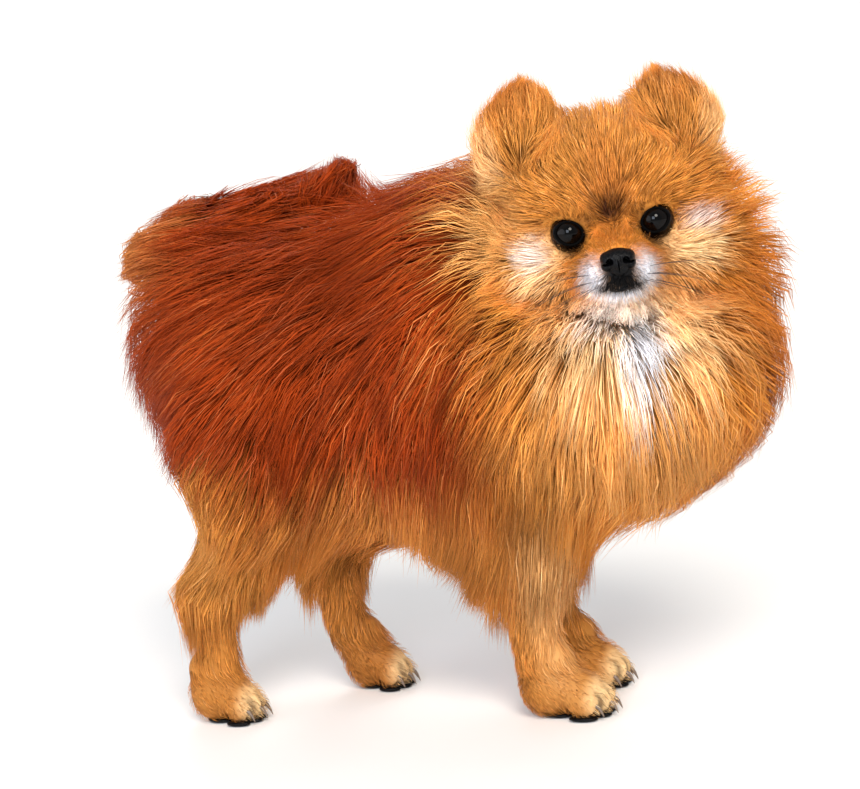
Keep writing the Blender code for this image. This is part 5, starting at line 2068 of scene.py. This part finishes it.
@dataclass
class Studio:
    """A pale floor, soft light and the camera at the photograph's angle.

    The lamps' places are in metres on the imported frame, and the target in millimetres on the
    drafting frame. The suns are name, place, strength, angle of spread in degrees and colour.
    """

    azimuth: float = math.radians(20.0)
    elevation: float = math.radians(10.5)
    roll: float = math.radians(6.0)
    distance: float = 1600.0
    span: float = 413.0
    target: tuple = (-2.2, -0.8, 150.0)
    sensor: float = 36.0
    far_clip: float = 50.0
    floor_side: float = 60.0
    sky_colour: str = "F4F6FA"
    sky_light: float = 0.62
    suns: tuple = (
        ("key", (0.9, -1.6, 1.7), 2.5, 22.0, "FFF7EC"),
        ("fill", (-1.8, -1.8, 0.6), 1.15, 50.0, "F6F8FF"),
        ("rim", (-0.4, 1.7, 1.6), 0.9, 30.0, "FFFFFF"),
    )
    sun_aim: tuple = (0.0, 0.0, 0.16)
    window_place: tuple = (0.15, -1.3, 0.75)
    window_aim: tuple = (0.1, 0.0, 0.2)
    window_watts: float = 9.0
    window_side: float = 0.5
    window_colour: str = "E4EEFF"

    def build(self) -> None:
        """Set up floor, light and camera."""
        self.floor()
        self.lights()
        self.camera()

    def floor(self) -> None:
        """A wide plane under the paws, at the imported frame's own zero."""
        clear()
        bpy.ops.mesh.primitive_plane_add(size=self.floor_side, location=(0.0, 0.0, 0.0))
        bpy.ops.object.transform_apply(location=True, rotation=True, scale=True)
        plane = bpy.context.object
        plane.name = "studio_floor"
        plane.data.materials.append(PlasterFinish().build())

    def lights(self) -> None:
        """A broad key from the camera's upper right, a fill, a rim, a cool window and an even sky."""
        world = bpy.data.worlds.new("sky")
        bpy.context.scene.world = world
        world.use_nodes = True
        sky = world.node_tree.nodes["Background"]
        sky.inputs["Color"].default_value = linear(self.sky_colour)
        sky.inputs["Strength"].default_value = self.sky_light
        for name, place, strength, spread, colour in self.suns:
            sun = self.lamp(name, "SUN", place, self.sun_aim, strength, colour)
            sun.angle = math.radians(spread)
        window = self.lamp(
            "window", "AREA", self.window_place, self.window_aim, self.window_watts, self.window_colour,
        )
        window.size = self.window_side

    def lamp(
        self, name: str, kind: str, place: tuple, aim: tuple, power: float, colour: str
    ) -> bpy.types.Light:
        """One lamp, turned to what it lights.

        Args:
            name: Its name.
            kind: Its type.
            place: Where it stands.
            aim: What it looks at.
            power: Its strength.
            colour: Its colour as a hex code.

        Returns:
            The lamp's light.
        """
        light = bpy.data.lights.new(name, kind)
        light.energy = power
        light.color = linear(colour)[:3]
        stand = placed(name, light)
        stand.location = place
        stand.rotation_euler = (Vector(aim) - Vector(place)).to_track_quat("-Z", "Y").to_euler()
        return light

    def camera(self) -> None:
        """The camera, turned as the photograph's was."""
        azimuth, elevation, roll = self.azimuth, self.elevation, self.roll
        back = Vector((
            math.sin(azimuth) * math.cos(elevation),
            -math.cos(azimuth) * math.cos(elevation),
            math.sin(elevation),
        ))
        right = Vector((math.cos(azimuth), math.sin(azimuth), 0.0))
        up = back.cross(right)
        turned = right * math.cos(roll) - up * math.sin(roll)
        raised = right * math.sin(roll) + up * math.cos(roll)
        matrix = Matrix((turned, raised, back)).transposed().to_4x4()
        matrix.translation = TO_FRAME @ (Vector(self.target) + back * self.distance)
        lens = bpy.data.cameras.new("camera")
        lens.sensor_width = self.sensor
        lens.lens = self.sensor * self.distance / self.span
        lens.clip_end = self.far_clip
        camera = placed("camera", lens)
        camera.matrix_world = matrix
        bpy.context.scene.camera = camera


def main() -> None:
    """Build the whole dog and its studio."""
    logging.basicConfig(level=logging.INFO, format="%(name)s %(message)s")
    form = BodyForm()
    markings = Markings()
    hair = CoatFinish().build()
    leather = LeatherFinish().build()
    outline = form.build("outline", 1.0, 0.0)
    dog = Skin(form, markings)
    skin = dog.build()
    groom = Groom(skin, outline, Lie())
    groom.comb()
    LOG.info("%d guides combed", groom.guides)
    discard(outline)
    Coat(groom, markings, hair).build()
    dog.dress(skin, hair)
    Eyes().build()
    Nose().build(leather)
    Mouth().build(leather)
    Whiskers().build(HornFinish("whisker_keratin", "1A1210", "3A2A20").build())
    Claws().build(HornFinish("claw_keratin", "5A4A40", "8A7868").build(), leather)
    Studio().build()
    bpy.context.scene.view_settings.view_transform = "Standard"


if __name__ == "__main__":
    main()
